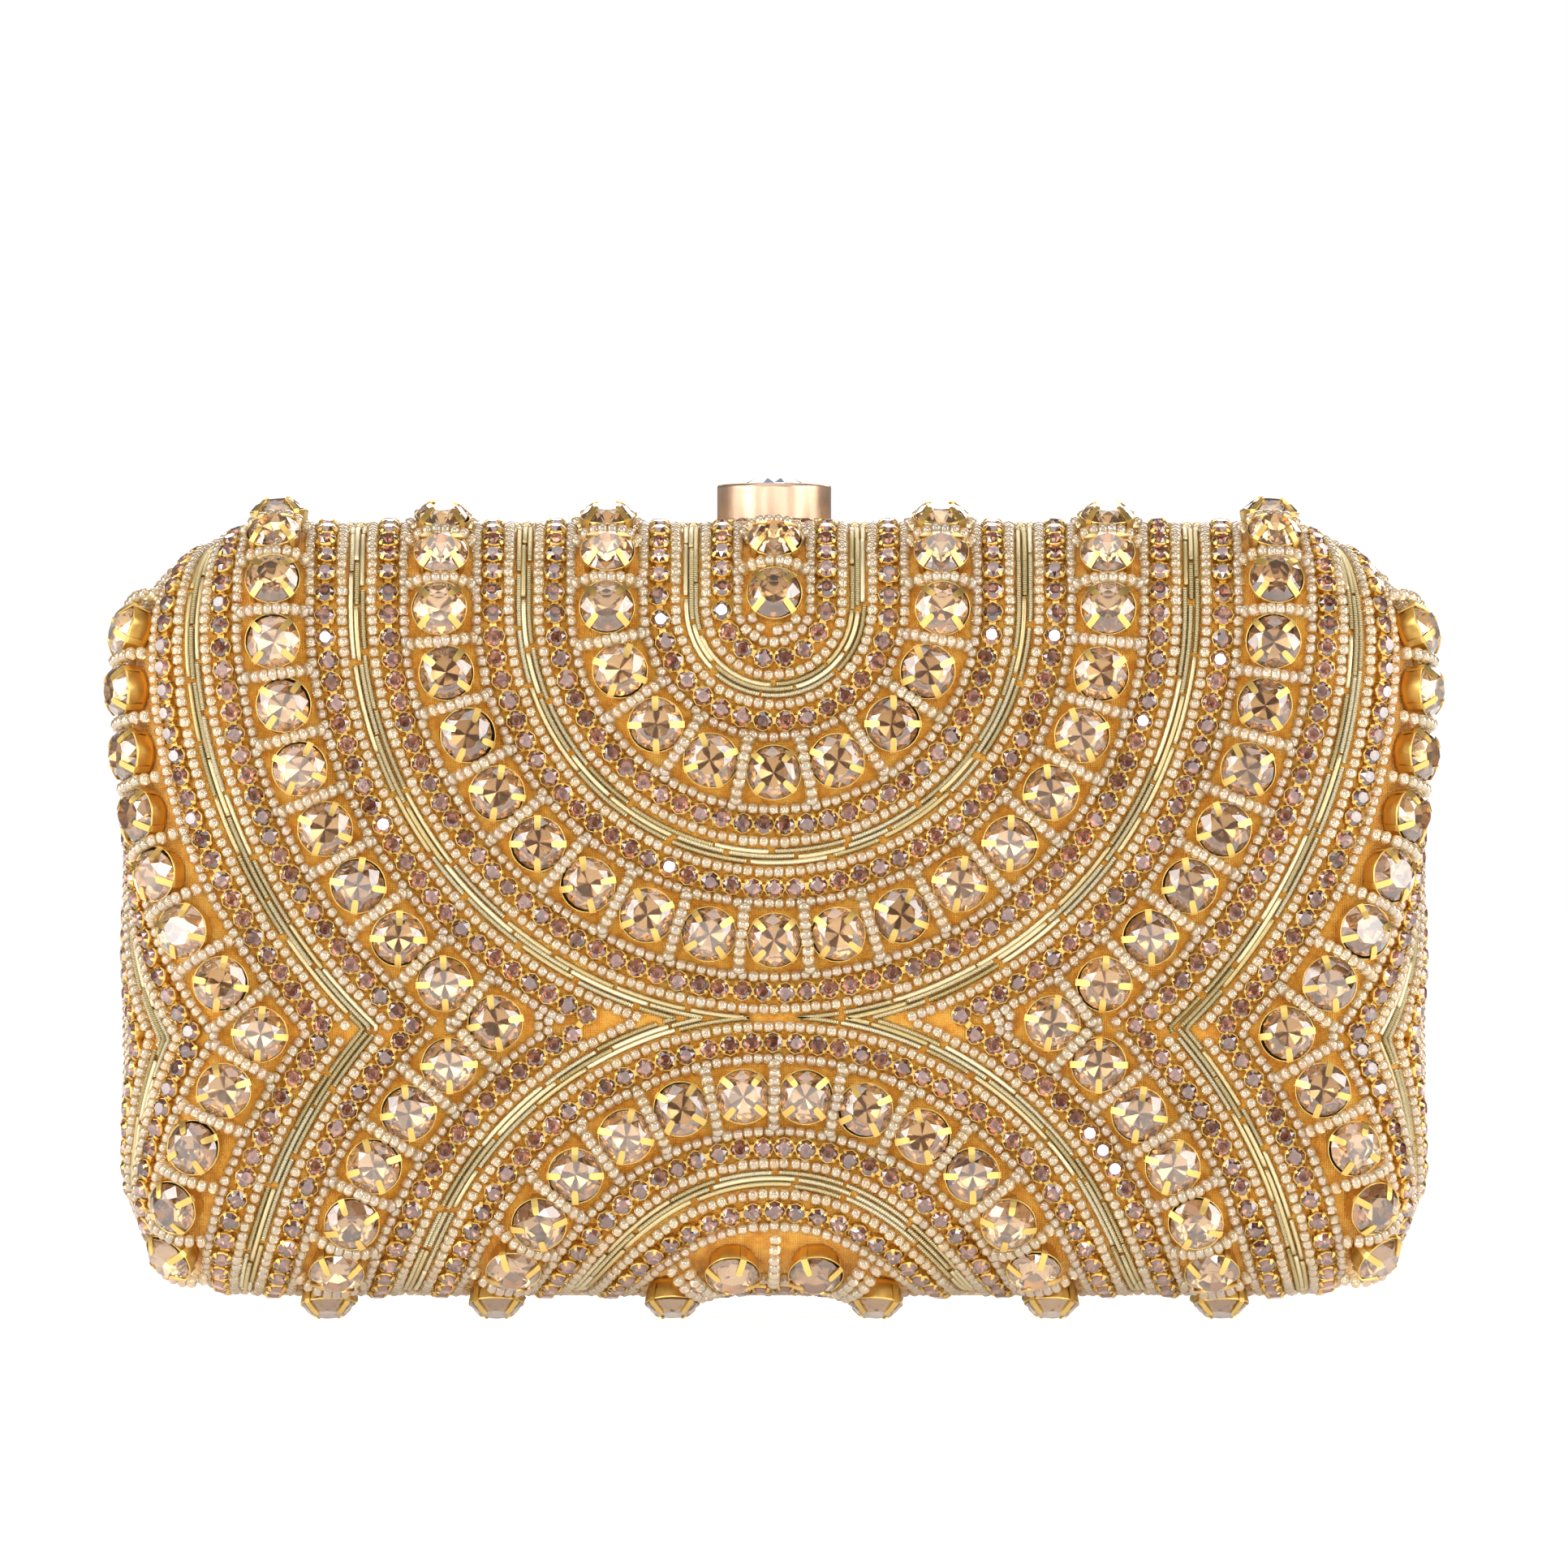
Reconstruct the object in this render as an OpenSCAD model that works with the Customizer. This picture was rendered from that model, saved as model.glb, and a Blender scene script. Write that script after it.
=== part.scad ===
// Beaded evening bag: a hard box clutch in two hinged halves with a push-knob lock on top.
// Frame: X across the width, -Y towards the front face, +Z up, origin under the centre of the bag.

/* [Case] */
// Width of the covered case
case_w = 195; // [180:0.2:220]
// Height of the covered case
case_h = 114.6; // [105:0.5:130]
// Depth of one half, from the parting plane to its flat face
half_depth = 24; // [22:0.5:30]
// Radius of the rounding from the face into the side walls
edge_r = 16; // [12:0.5:18]
// Radius of the two top corners of the outline
top_corner_r = 23.5; // [20:0.5:30]
// Radius of the two bottom corners of the outline
bottom_corner_r = 18.5; // [18.5:0.5:24]
// Thickness of the embroidered cover
cover_t = 1; // [0.6:0.1:1.4]
// Thickness of the moulded shell
shell_t = 2; // [1.5:0.1:2.5]
// Thickness of the lining
lining_t = 1; // [0.6:0.1:1.4]

/* [Frame and hinge] */
// Depth of each metal rim, measured from the parting plane
rim_d = 3; // [2.5:0.1:4]
// How far each rim reaches inwards from the outline
rim_w = 7; // [6:0.2:9]
// How far each rim stands proud of the cover
rim_proud = 0.4; // [0.1:0.1:0.8]
// Half of the gap between the two rims
rim_gap = 0.15; // [0.1:0.05:0.3]
// Outer radius of the hinge knuckles
knuckle_r = 1.4; // [1.3:0.1:1.9]
// Radius of the hinge pin
hinge_pin_r = 0.7; // [0.6:0.05:0.8]
// Length of the hinge
hinge_len = 110; // [80:1:130]
// Radius of the hole in each chain lug
lug_hole_r = 1.5; // [1.2:0.1:1.8]

/* [Knob lock] */
// Radius of the knob
knob_r = 8.7; // [8:0.1:9.5]
// Height of the knob
knob_h = 5.4; // [5:0.1:6.5]
// Travel of the knob when it is pressed
knob_travel = 1.5; // [1:0.1:1.6]
// Radius of the plunger stem
stem_r = 1.6; // [1.4:0.05:1.8]
// Half width of the knob's crystal
crystal_r = 4.3; // [3.8:0.1:4.8]

/* [Large stones] */
// Radius of a metal stone cup at its mouth
cup_r = 4.1; // [3.8:0.1:4.3]
// Radius of a metal stone cup at its base
cup_base_r = 3.5; // [3:0.1:3.6]
// Height of a metal stone cup
cup_h = 3.2; // [3:0.1:4]
// Distance from one stone to the next along a row
stone_pitch = 9.9; // [9.4:0.1:11]
// Distance from one row of large stones to the next
row_period = 25.3; // [25:0.1:27]

/* [Hidden] */
$fn = 64;

running_gap = 0.05;
fit_gap = 0.3;
// How far cutting shapes run past the solid they cut
over = 1;
gold = [0.86, 0.7, 0.4];
rose_gold = [0.85, 0.66, 0.5];
steel = [0.7, 0.7, 0.72];
amber_cloth = [0.84, 0.57, 0.2];
lining_cloth = [0.88, 0.74, 0.5];
champagne = [0.78, 0.62, 0.42, 0.9];

// Stones: a girdle with a tapered crown on each cup
girdle_r = cup_r - 0.2;
girdle_h = 0.6;
crown_h = 1.4;
table_r = 2.4;
stone_h = cup_h + girdle_h + crown_h;
stone_mid_h = 3.5;

// The bag stands on one stone of each lower row, turned this far from the face
foot_tilt = 75.5;
foot_drop = stone_h * sin(foot_tilt) + table_r * cos(foot_tilt);
case_bottom = foot_drop - edge_r * (1 - sin(foot_tilt));
case_top = case_bottom + case_h;
case_mid = (case_top + case_bottom) / 2;

wall_straight = half_depth - edge_r;
lip_end = wall_straight - 1;
core_x = case_w / 2 - edge_r;
core_top = case_top - edge_r;
core_bottom = case_bottom + edge_r;
core_top_r = top_corner_r - edge_r;
core_bottom_r = bottom_corner_r - edge_r;
shell_in = cover_t + shell_t;
lining_in = shell_in + lining_t;
rim_face = rim_gap + rim_d;
rim_top = case_top + rim_proud;
rim_inner_top = case_top - rim_w;
rim_inner_x = case_w / 2 - rim_w;

hinge_drop = 0.05;
hinge_z = case_bottom - rim_proud - hinge_drop;
knuckle_count = 5;
knuckle_pitch = hinge_len / knuckle_count;
knuckle_gap = 0.15;

// Lock: everything is placed from the stem's axis and the underside of the rim
stem_y = 3;
knob_base_z = rim_top + knob_travel + fit_gap;
knob_top_z = knob_base_z + knob_h;
boss_x = 8;
boss_back = 8.5;
knob_gap = 0.5;
screw_pad_x = 2.4;
stop_z = rim_inner_top - 0.4;
bridge_t = 1.4;
bridge_x = 7;
tongue_x = 4;
tongue_top = stop_z - bridge_t - knob_travel - 0.5;
tongue_t = 1.2;
leaf_top = tongue_top - tongue_t - 0.9;
leaf_t = 0.6;
housing_x = 14;
housing_bottom = leaf_top - 6;
housing_wall = 0.8;
housing_front = 0.6;
housing_back = 9.4;
housing_gap = 1;
screw_x = 11;
screw_r = 1.2;

// The curve family of the embroidery, on the cover rolled out flat
upper_centre = [0, case_top - 11.4];
lower_centre = [0, case_bottom - 14];
lower_lead = 7.4;
foot_w = core_bottom - edge_r * foot_tilt * PI / 180;
flat_limit = edge_r * PI / 2 + 0.3;
rows_upper = [1, 2];
rows_lower = [1, 2];
rows_joined = [3, 4];

function clamp(v, lo, hi) = min(max(v, lo), hi);

// Nearest point of the flat core to a flat point, with the core's corner circles left in
function core_point(p) =
  let (
    r = p[1] > case_mid ? core_top_r : core_bottom_r,
    c = [
      clamp(p[0], r - core_x, core_x - r),
      clamp(p[1], core_bottom + r, core_top - r)
    ],
    v = p - c,
    d = norm(v)
  )
  d <= r ? p : c + v * (r / d);

// Flat point to a point h above the cover, as [position, outward normal]
function on_cover(p, h = 0) =
  let (
    c = core_point(p),
    v = p - c,
    d = norm(v),
    e = d > 0 ? v / d : [0, 0],
    bend = min(d / edge_r, PI / 2),
    run = max(d - edge_r * PI / 2, 0),
    a = bend * 180 / PI,
    n = [e[0] * sin(a), -cos(a), e[1] * sin(a)],
    base = [c[0], run - wall_straight, c[1]]
  )
  [base + n * (edge_r + h), n];

// Flat points along an arc round a centre, from a0 to the level of the centre, then straight on
function arc_and_line(centre, r, a0, up) =
  concat(
    [for (i = [0 : 40]) let (a = a0 * (1 - i / 40)) centre + r * [cos(a), sin(a)]],
    [for (i = [1 : 50]) centre + [r, up * i]]
  );

function lengths(pts) =
  [for (i = 0, s = 0; i < len(pts);
    s = s + (i + 1 < len(pts) ? norm(pts[i + 1] - pts[i]) : 0), i = i + 1) s];

// Flat point at arc length s, where the lengths ls belong to the flat points flat
function at_length(flat, ls, s) =
  let (i = max([for (k = [0 : len(ls) - 2]) ls[k] <= s ? k : 0]))
  flat[i] + (flat[i + 1] - flat[i]) * ((s - ls[i]) / max(ls[i + 1] - ls[i], 0.001));

function reach(p) = norm(p - core_point(p));

// Flat centres of the stones along a path, first at s0 and then at the given pitch
function stones_along(flat, s0, pitch) =
  let (
    ls = lengths([for (p = flat) on_cover(p, stone_mid_h)[0]]),
    end = ls[len(ls) - 1]
  )
  [for (s = [s0 : pitch : end]) let (p = at_length(flat, ls, s)) if (reach(p) < flat_limit) p];

// Flat part of a path above the foot level, and its length at stone height
function above_foot(flat) = [for (p = flat) if (p[1] > foot_w) p];
function path_length(flat) =
  let (ls = lengths([for (p = flat) on_cover(p, stone_mid_h)[0]])) ls[len(ls) - 1];

function foot_x(r) = sqrt(r * r - pow(foot_w - lower_centre[1], 2));
function lower_r(k) = k * row_period - lower_lead;

// Height above the lower centre at which the upper and lower curves of joined row k meet
function meet_h(k) =
  let (h = upper_centre[1] - lower_centre[1])
  (pow(lower_r(k), 2) - pow(k * row_period, 2) + h * h) / (2 * h);

function upper_row(k) =
  stones_along(arc_and_line(upper_centre, k * row_period, -90, 1), 0, stone_pitch);

function lower_row(r, a0, first) =
  let (
    path = above_foot(arc_and_line(lower_centre, r, a0, -1)),
    span = path_length(path),
    n = round(span / stone_pitch - first),
    pitch = span / (n + first)
  )
  [for (p = stones_along(path, pitch * first, pitch)) if (p[1] > foot_w + 4) p];

function joined_row(k) =
  let (
    h = meet_h(k),
    a_low = asin(h / lower_r(k)),
    a_up = -asin((upper_centre[1] - lower_centre[1] - h) / (k * row_period))
  )
  concat(
    stones_along(arc_and_line(upper_centre, k * row_period, a_up, 1), 0, stone_pitch),
    lower_row(lower_r(k), a_low, 1)
  );

right_stones = concat(
  [for (k = rows_upper) each upper_row(k)],
  [for (k = rows_lower) each lower_row(lower_r(k), 90, 0.5)],
  [for (k = rows_joined) each joined_row(k)]
);
centre_stones = [upper_centre + [0, 1], upper_centre + [0, 9.4]];
mirrored_stones = [for (p = right_stones) if (p[0] > 1) [-p[0], p[1]]];
all_stones = concat(centre_stones, right_stones, mirrored_stones);
foot_right = [for (k = [1, 2, 3]) [foot_x(lower_r(k)), foot_w]];
all_feet = concat(foot_right, [for (p = foot_right) [-p[0], p[1]]]);

// Outline of the case in X and Z, moved inwards by an inset
module outline(inset) {
  tx = case_w / 2 - top_corner_r;
  tz = case_top - top_corner_r;
  bx = case_w / 2 - bottom_corner_r;
  bz = case_bottom + bottom_corner_r;
  x = case_w / 2 - inset;
  polygon([
    [-tx, case_top - inset], [tx, case_top - inset], [tx, tz], [x, tz], [x, bz], [bx, bz],
    [bx, case_bottom + inset], [-bx, case_bottom + inset], [-bx, bz], [-x, bz], [-x, tz], [-tx, tz]
  ]);
  for (side = [-1, 1]) {
    translate([side * tx, tz]) circle(top_corner_r - inset);
    translate([side * bx, bz]) circle(bottom_corner_r - inset);
  }
}

// Section through a wall of the case: r outwards from a corner's centre, height from the parting plane
module wall_section(corner_r, inset) {
  square([corner_r - edge_r, half_depth - inset]);
  square([corner_r - inset, wall_straight]);
  translate([corner_r - edge_r, wall_straight])
    intersection() {
      circle(edge_r - inset);
      square(edge_r);
    }
}

// One straight wall, running along the local X from -run/2 to run/2, outwards along +Y
module wall_run(run, corner_r, inset) {
  rotate([90, 0, 90])
    translate([0, 0, -run / 2])
      linear_extrude(run) wall_section(corner_r, inset);
}

// Solid inside the case surface moved inwards by an inset, height along +Z
module pillow(inset) {
  tx = case_w / 2 - top_corner_r;
  tz = case_top - top_corner_r;
  bx = case_w / 2 - bottom_corner_r;
  bz = case_bottom + bottom_corner_r;
  translate([-tx, case_bottom + top_corner_r, 0])
    cube([2 * tx, case_h - 2 * top_corner_r, half_depth - inset]);
  translate([0, tz, 0]) wall_run(2 * tx, top_corner_r, inset);
  translate([0, case_bottom + top_corner_r, 0])
    mirror([0, 1, 0]) wall_run(2 * bx, top_corner_r, inset);
  for (side = [0, 1])
    mirror([side, 0, 0]) {
      translate([tx, (tz + bz) / 2, 0])
        rotate([0, 0, -90]) wall_run(tz - bz, top_corner_r, inset);
      translate([tx, tz, 0]) rotate_extrude(angle = 90) wall_section(top_corner_r, inset);
      translate([bx, bz, 0])
        rotate([0, 0, -90]) rotate_extrude(angle = 90) wall_section(bottom_corner_r, inset);
    }
}

// Layer of the case between two insets, above a height from the parting plane
module layer(outer, inner, from) {
  difference() {
    pillow(outer);
    pillow(inner);
    translate([-case_w, -case_h, -over]) cube([2 * case_w, 3 * case_h, from + over]);
  }
}

// Stands a local outline up: local Y becomes Z and local Z points to the front
module stand_up() {
  rotate([90, 0, 0]) children();
}

module to_rear() {
  mirror([0, 1, 0]) children();
}

// Rivets through rim lip and shell, with the heads inside
rivet_heights = [38, 63, 88];
rivet_spots = [25, 55];
rivet_y = -5.1;
rivet_r = 0.9;
rivet_head_r = 1.6;
rivet_head_t = 0.6;

module rivet() {
  translate([0, 0, -lining_in]) cylinder(r = rivet_r, h = lining_in - cover_t);
  translate([0, 0, -lining_in - rivet_head_t]) cylinder(r = rivet_head_r, h = rivet_head_t);
}

module rivet_shank() {
  translate([0, 0, -lining_in]) cylinder(r = rivet_r, h = lining_in - cover_t);
}

module at_rivets() {
  for (side = [-1, 1]) {
    for (z = rivet_heights)
      translate([side * case_w / 2, rivet_y, z]) rotate([0, side * 90, 0]) children();
    for (x = rivet_spots)
      translate([side * x, rivet_y, case_top]) children();
  }
}

module half_shell() {
  difference() {
    stand_up() layer(cover_t, shell_in, rim_face);
    at_rivets() rivet_shank();
  }
}

module half_cover() {
  stand_up() layer(0, cover_t, rim_face);
}

module half_lining() {
  stand_up() layer(shell_in, lining_in, lip_end);
}

// Rim ring with the lip that the shell is riveted to
module half_rim() {
  difference() {
    stand_up() {
      translate([0, 0, rim_gap])
        linear_extrude(rim_d)
          difference() {
            outline(-rim_proud);
            outline(rim_w);
          }
      translate([0, 0, rim_face])
        linear_extrude(lip_end - rim_face)
          difference() {
            outline(shell_in);
            outline(lining_in);
          }
    }
    at_rivets() rivet_shank();
  }
}

// Cylinder along the hinge axis, from x0 for a length len
module hinge_rod(x0, len, r) {
  translate([x0, 0, hinge_z]) rotate([0, 90, 0]) cylinder(r = r, h = len);
}

// Knuckle number i along X, and the room that the other half's rim leaves for it
module knuckle(i) {
  hinge_rod(-hinge_len / 2 + i * knuckle_pitch + knuckle_gap, knuckle_pitch - 2 * knuckle_gap, knuckle_r);
}

module knuckle_room(i) {
  hinge_rod(-hinge_len / 2 + i * knuckle_pitch, knuckle_pitch, knuckle_r + knuckle_gap);
}

module hinge_bore() {
  hinge_rod(-hinge_len / 2, hinge_len, hinge_pin_r + running_gap);
}

module stones_at(spots, lift) {
  for (p = spots) {
    spot = on_cover(p, lift);
    n = spot[1];
    translate(spot[0]) rotate([0, acos(n[2]), atan2(n[1], n[0])]) children();
  }
}

module cup() {
  cylinder(r1 = cup_base_r, r2 = cup_r, h = cup_h, $fn = 32);
}

module stone() {
  cylinder(r = girdle_r, h = girdle_h, $fn = 32);
  translate([0, 0, girdle_h]) cylinder(r1 = girdle_r, r2 = table_r, h = crown_h, $fn = 32);
}

// Front half
module front_shell() {
  color([0.35, 0.3, 0.25]) half_shell();
}

module front_cover() {
  color(amber_cloth) half_cover();
}

module front_lining() {
  color(lining_cloth) half_lining();
}

module front_frame() {
  color(gold)
    difference() {
      union() {
        difference() {
          half_rim();
          for (i = [0 : 2 : knuckle_count - 1]) knuckle_room(i);
        }
        for (i = [1 : 2 : knuckle_count - 2]) knuckle(i);
      }
      hinge_bore();
      keeper_rivet_spots() cylinder(r = keeper_rivet_r, h = rim_d);
    }
}

module front_frame_rivets() {
  color(steel) at_rivets() rivet();
}

module front_stone_cups() {
  color(gold) stones_at(all_stones, 0) cup();
}

module front_stones() {
  color(champagne) stones_at(all_stones, cup_h) stone();
}

module front_foot_cups() {
  color(gold) stones_at(all_feet, 0) cup();
}

module front_foot_stones() {
  color(champagne) stones_at(all_feet, cup_h) stone();
}

// Keeper: a plate riveted behind the front rim, with a tongue that reaches into the lock
keeper_t = 1;
keeper_x = 9;
keeper_gap = 0.1;
keeper_top = case_top - lining_in - keeper_gap;
keeper_rivet_x = 6.5;
keeper_rivet_r = 0.7;
keeper_rivet_head_r = 1.3;
keeper_rivet_z = keeper_top - keeper_rivet_head_r - keeper_gap;
window_x = 2.5;
window_front = 2.6;
window_back = 5.8;
tongue_end = 7.4;

module keeper_rivet_spots() {
  for (side = [-1, 1])
    translate([side * keeper_rivet_x, -rim_gap, keeper_rivet_z]) rotate([90, 0, 0]) children();
}

module keeper() {
  color(steel)
    difference() {
      union() {
        translate([-keeper_x, -rim_face - keeper_t, tongue_top - tongue_t])
          cube([2 * keeper_x, keeper_t, keeper_top - tongue_top + tongue_t]);
        translate([-tongue_x, -rim_face - keeper_t, tongue_top - tongue_t])
          cube([2 * tongue_x, tongue_end + rim_face + keeper_t, tongue_t]);
      }
      translate([-window_x, window_front, tongue_top - 2 * tongue_t])
        cube([2 * window_x, window_back - window_front, 3 * tongue_t]);
      keeper_rivet_spots() cylinder(r = keeper_rivet_r, h = rim_d + keeper_t + over);
    }
}

module keeper_rivets() {
  color(steel)
    keeper_rivet_spots() {
      cylinder(r = keeper_rivet_r, h = rim_d + keeper_t);
      translate([0, 0, rim_d + keeper_t]) cylinder(r = keeper_rivet_head_r, h = rivet_head_t);
    }
}

// Rear half
module lock_notch() {
  translate([-boss_x - fit_gap, 0, rim_inner_top - over])
    cube([2 * boss_x + 2 * fit_gap, boss_back + fit_gap, rim_w + 2 * over]);
}

module knob_clearance() {
  translate([0, stem_y, rim_inner_top - over]) cylinder(r = knob_r + knob_gap, h = rim_w + 2 * over);
}

module rear_shell() {
  color([0.35, 0.3, 0.25])
    difference() {
      to_rear() half_shell();
      lock_notch();
    }
}

module rear_cover() {
  color(amber_cloth)
    difference() {
      to_rear() half_cover();
      lock_notch();
      knob_clearance();
    }
}

module rear_lining() {
  color(lining_cloth)
    difference() {
      to_rear() half_lining();
      translate([-housing_x - housing_gap, 0, housing_bottom - housing_gap])
        cube([2 * (housing_x + housing_gap), housing_back + housing_gap, case_h]);
    }
}

module rear_frame() {
  color(gold)
    difference() {
      union() {
        difference() {
          to_rear() half_rim();
          for (i = [1 : 2 : knuckle_count - 2]) knuckle_room(i);
        }
        for (i = [0 : 2 : knuckle_count - 1]) knuckle(i);
        translate([-boss_x, rim_gap, rim_inner_top])
          cube([2 * boss_x, boss_back - rim_gap, rim_w]);
        for (side = [-1, 1])
          translate([side * screw_x - screw_pad_x, rim_gap, rim_inner_top])
            cube([2 * screw_pad_x, boss_back - rim_gap, rim_w - lining_in]);
      }
      hinge_bore();
      translate([0, stem_y, rim_inner_top - over]) cylinder(r = collar_r, h = rim_w + 2 * over);
      lock_screw_spots() cylinder(r = screw_r, h = screw_len);
      for (side = [-1, 1])
        translate([side * rim_inner_x - lug_bite, lug_y, lug_z - lug_r])
          cube([2 * lug_bite, lug_t, 2 * lug_r]);
    }
}

module rear_frame_rivets() {
  color(steel) to_rear() at_rivets() rivet();
}

module rear_stone_cups() {
  color(gold) to_rear() stones_at(all_stones, 0) cup();
}

module rear_stones() {
  color(champagne) to_rear() stones_at(all_stones, cup_h) stone();
}

module rear_foot_cups() {
  color(gold) to_rear() stones_at(all_feet, 0) cup();
}

module rear_foot_stones() {
  color(champagne) to_rear() stones_at(all_feet, cup_h) stone();
}

// Flat slip pocket standing just in front of the rear lining
pocket_w = 110;
pocket_h = 60;
pocket_t = 0.8;
pocket_bottom = 26;

module slip_pocket() {
  color(lining_cloth)
    translate([-pocket_w / 2, half_depth - lining_in - pocket_t, pocket_bottom])
      cube([pocket_w, pocket_t, pocket_h]);
}

module hinge_pin() {
  pin_len = hinge_len - 2 * knuckle_gap;
  color(steel) hinge_rod(-pin_len / 2, pin_len, hinge_pin_r);
}

// Chain lugs: eyelets let into the inner edge of the rear rim
lug_t = 1.2;
lug_y = 1;
lug_z = 98;
lug_r = 3;
lug_bite = 1.5;
lug_neck = 2;

module chain_lug(side) {
  color(gold)
    translate([side * (rim_inner_x - lug_bite - lug_neck), lug_y + lug_t, lug_z])
      rotate([90, 0, 0])
        difference() {
          union() {
            cylinder(r = lug_r, h = lug_t);
            translate([side > 0 ? 0 : -lug_neck - 2 * lug_bite, -lug_r, 0])
              cube([lug_neck + 2 * lug_bite, 2 * lug_r, lug_t]);
          }
          translate([0, 0, -over]) cylinder(r = lug_hole_r, h = lug_t + 2 * over);
        }
}

module chain_lug_left() {
  chain_lug(-1);
}

module chain_lug_right() {
  chain_lug(1);
}

// Lock
screw_y = 4.4;
screw_len = housing_wall + rim_w - lining_in - 0.4;
screw_head_r = 2;
screw_head_t = 0.8;
collar_r = 2.6;
collar_flange_r = 6.4;
collar_flange_t = 0.9;

module lock_screw_spots() {
  for (side = [-1, 1])
    translate([side * screw_x, screw_y, rim_inner_top - housing_wall]) children();
}

// Stamped box hung under the rim by two screws, slotted on top for the plunger and in front for the tongue
slot_gap = 0.6;
tongue_slot_gap = 1;

module lock_housing() {
  depth = housing_back - housing_front;
  inner_front = housing_front + housing_wall;
  inner_depth = depth - 2 * housing_wall;
  color(steel)
    difference() {
      translate([-housing_x, housing_front, housing_bottom])
        cube([2 * housing_x, depth, rim_inner_top - housing_bottom]);
      translate([-housing_x + housing_wall, inner_front, housing_bottom + housing_wall])
        cube([
          2 * (housing_x - housing_wall),
          inner_depth,
          rim_inner_top - housing_bottom - 2 * housing_wall
        ]);
      translate([-bridge_x - slot_gap, inner_front, rim_inner_top - housing_wall - over])
        cube([2 * (bridge_x + slot_gap), inner_depth, housing_wall + 2 * over]);
      translate([-tongue_x - slot_gap, housing_front - over, tongue_top - tongue_t - tongue_slot_gap])
        cube([2 * (tongue_x + slot_gap), housing_wall + 2 * over, tongue_t + 2 * tongue_slot_gap]);
      lock_screw_spots() cylinder(r = screw_r, h = housing_wall);
      translate([leaf_rivet_x, leaf_mid_y, housing_bottom - over])
        cylinder(r = rivet_r, h = housing_wall + 2 * over);
    }
}

module lock_screws() {
  color(steel)
    lock_screw_spots() {
      cylinder(r = screw_r, h = screw_len);
      translate([0, 0, -screw_head_t]) cylinder(r = screw_head_r, h = screw_head_t);
    }
}

// Spring leaf: foot on the housing floor, riser, and a strip whose nose stands in the keeper's window
leaf_mid_y = 4.2;
leaf_w = 3.6;
leaf_rivet_x = 8.4;
leaf_riser_x = 12;
leaf_tip_x = bridge_x + slot_gap;
leaf_foot_x = 2;
nose_x = 2.1;
nose_h = 2;
nose_flat = 0.8;
nose_back = 1.1;
nose_front = 1.3;

module catch_leaf() {
  floor_z = housing_bottom + housing_wall;
  color(steel)
    difference() {
      union() {
        translate([-leaf_tip_x, leaf_mid_y - leaf_w / 2, leaf_top - leaf_t])
          cube([leaf_riser_x + leaf_t + leaf_tip_x, leaf_w, leaf_t]);
        translate([leaf_riser_x, leaf_mid_y - leaf_w / 2, floor_z])
          cube([leaf_t, leaf_w, leaf_top - floor_z]);
        translate([leaf_rivet_x - leaf_foot_x, leaf_mid_y - leaf_w / 2, floor_z])
          cube([leaf_riser_x + leaf_t - leaf_rivet_x + leaf_foot_x, leaf_w, leaf_t]);
        translate([nose_x, leaf_mid_y, leaf_top])
          rotate([0, -90, 0])
            linear_extrude(2 * nose_x)
              polygon([
                [0, -nose_front], [0, nose_back], [nose_h, nose_back], [nose_h, nose_back - nose_flat]
              ]);
      }
      translate([leaf_rivet_x, leaf_mid_y, floor_z - over]) cylinder(r = rivet_r, h = leaf_t + 2 * over);
    }
}

module catch_leaf_rivet() {
  color(steel)
    translate([leaf_rivet_x, leaf_mid_y, housing_bottom]) {
      cylinder(r = rivet_r, h = housing_wall + leaf_t);
      translate([0, 0, housing_wall + leaf_t]) cylinder(r = rivet_head_r, h = rivet_head_t);
    }
}

// Flanged bush in the rim boss that guides the plunger stem
module knob_collar() {
  color(gold)
    translate([0, stem_y, 0])
      difference() {
        union() {
          translate([0, 0, rim_inner_top]) cylinder(r = collar_r, h = rim_top - rim_inner_top);
          translate([0, 0, rim_top]) cylinder(r = collar_flange_r, h = collar_flange_t);
        }
        translate([0, 0, rim_inner_top - over])
          cylinder(r = stem_r + running_gap, h = rim_w + rim_proud + collar_flange_t + 2 * over);
      }
}

// Hollow turned knob with a seat for the crystal in its top
knob_wall = 1.4;
knob_roof = 2.4;
knob_round = 0.7;
crystal_seat = 1.2;

module knob() {
  color(rose_gold)
    translate([0, stem_y, knob_base_z])
      difference() {
        union() {
          cylinder(r = knob_r, h = knob_h - knob_round);
          rotate_extrude()
            translate([knob_r - knob_round, knob_h - knob_round])
              intersection() {
                circle(knob_round);
                square(knob_round);
              }
          cylinder(r = knob_r - knob_round, h = knob_h);
        }
        translate([0, 0, -over]) cylinder(r = knob_r - knob_wall, h = knob_h - knob_roof + over);
        translate([0, 0, -over]) cylinder(r = stem_r, h = knob_h - crystal_seat + over);
        translate([0, 0, knob_h - crystal_seat]) cylinder(r = crystal_r, h = crystal_seat + over);
      }
}

module knob_crystal() {
  girdle = 0.2;
  point_h = 1.4;
  point_r = 0.3;
  color([0.85, 0.92, 0.98, 0.6])
    translate([0, stem_y, knob_top_z - crystal_seat]) {
      cylinder(r = crystal_r, h = crystal_seat + girdle);
      translate([0, 0, crystal_seat + girdle]) cylinder(r1 = crystal_r, r2 = point_r, h = point_h);
    }
}

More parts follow.
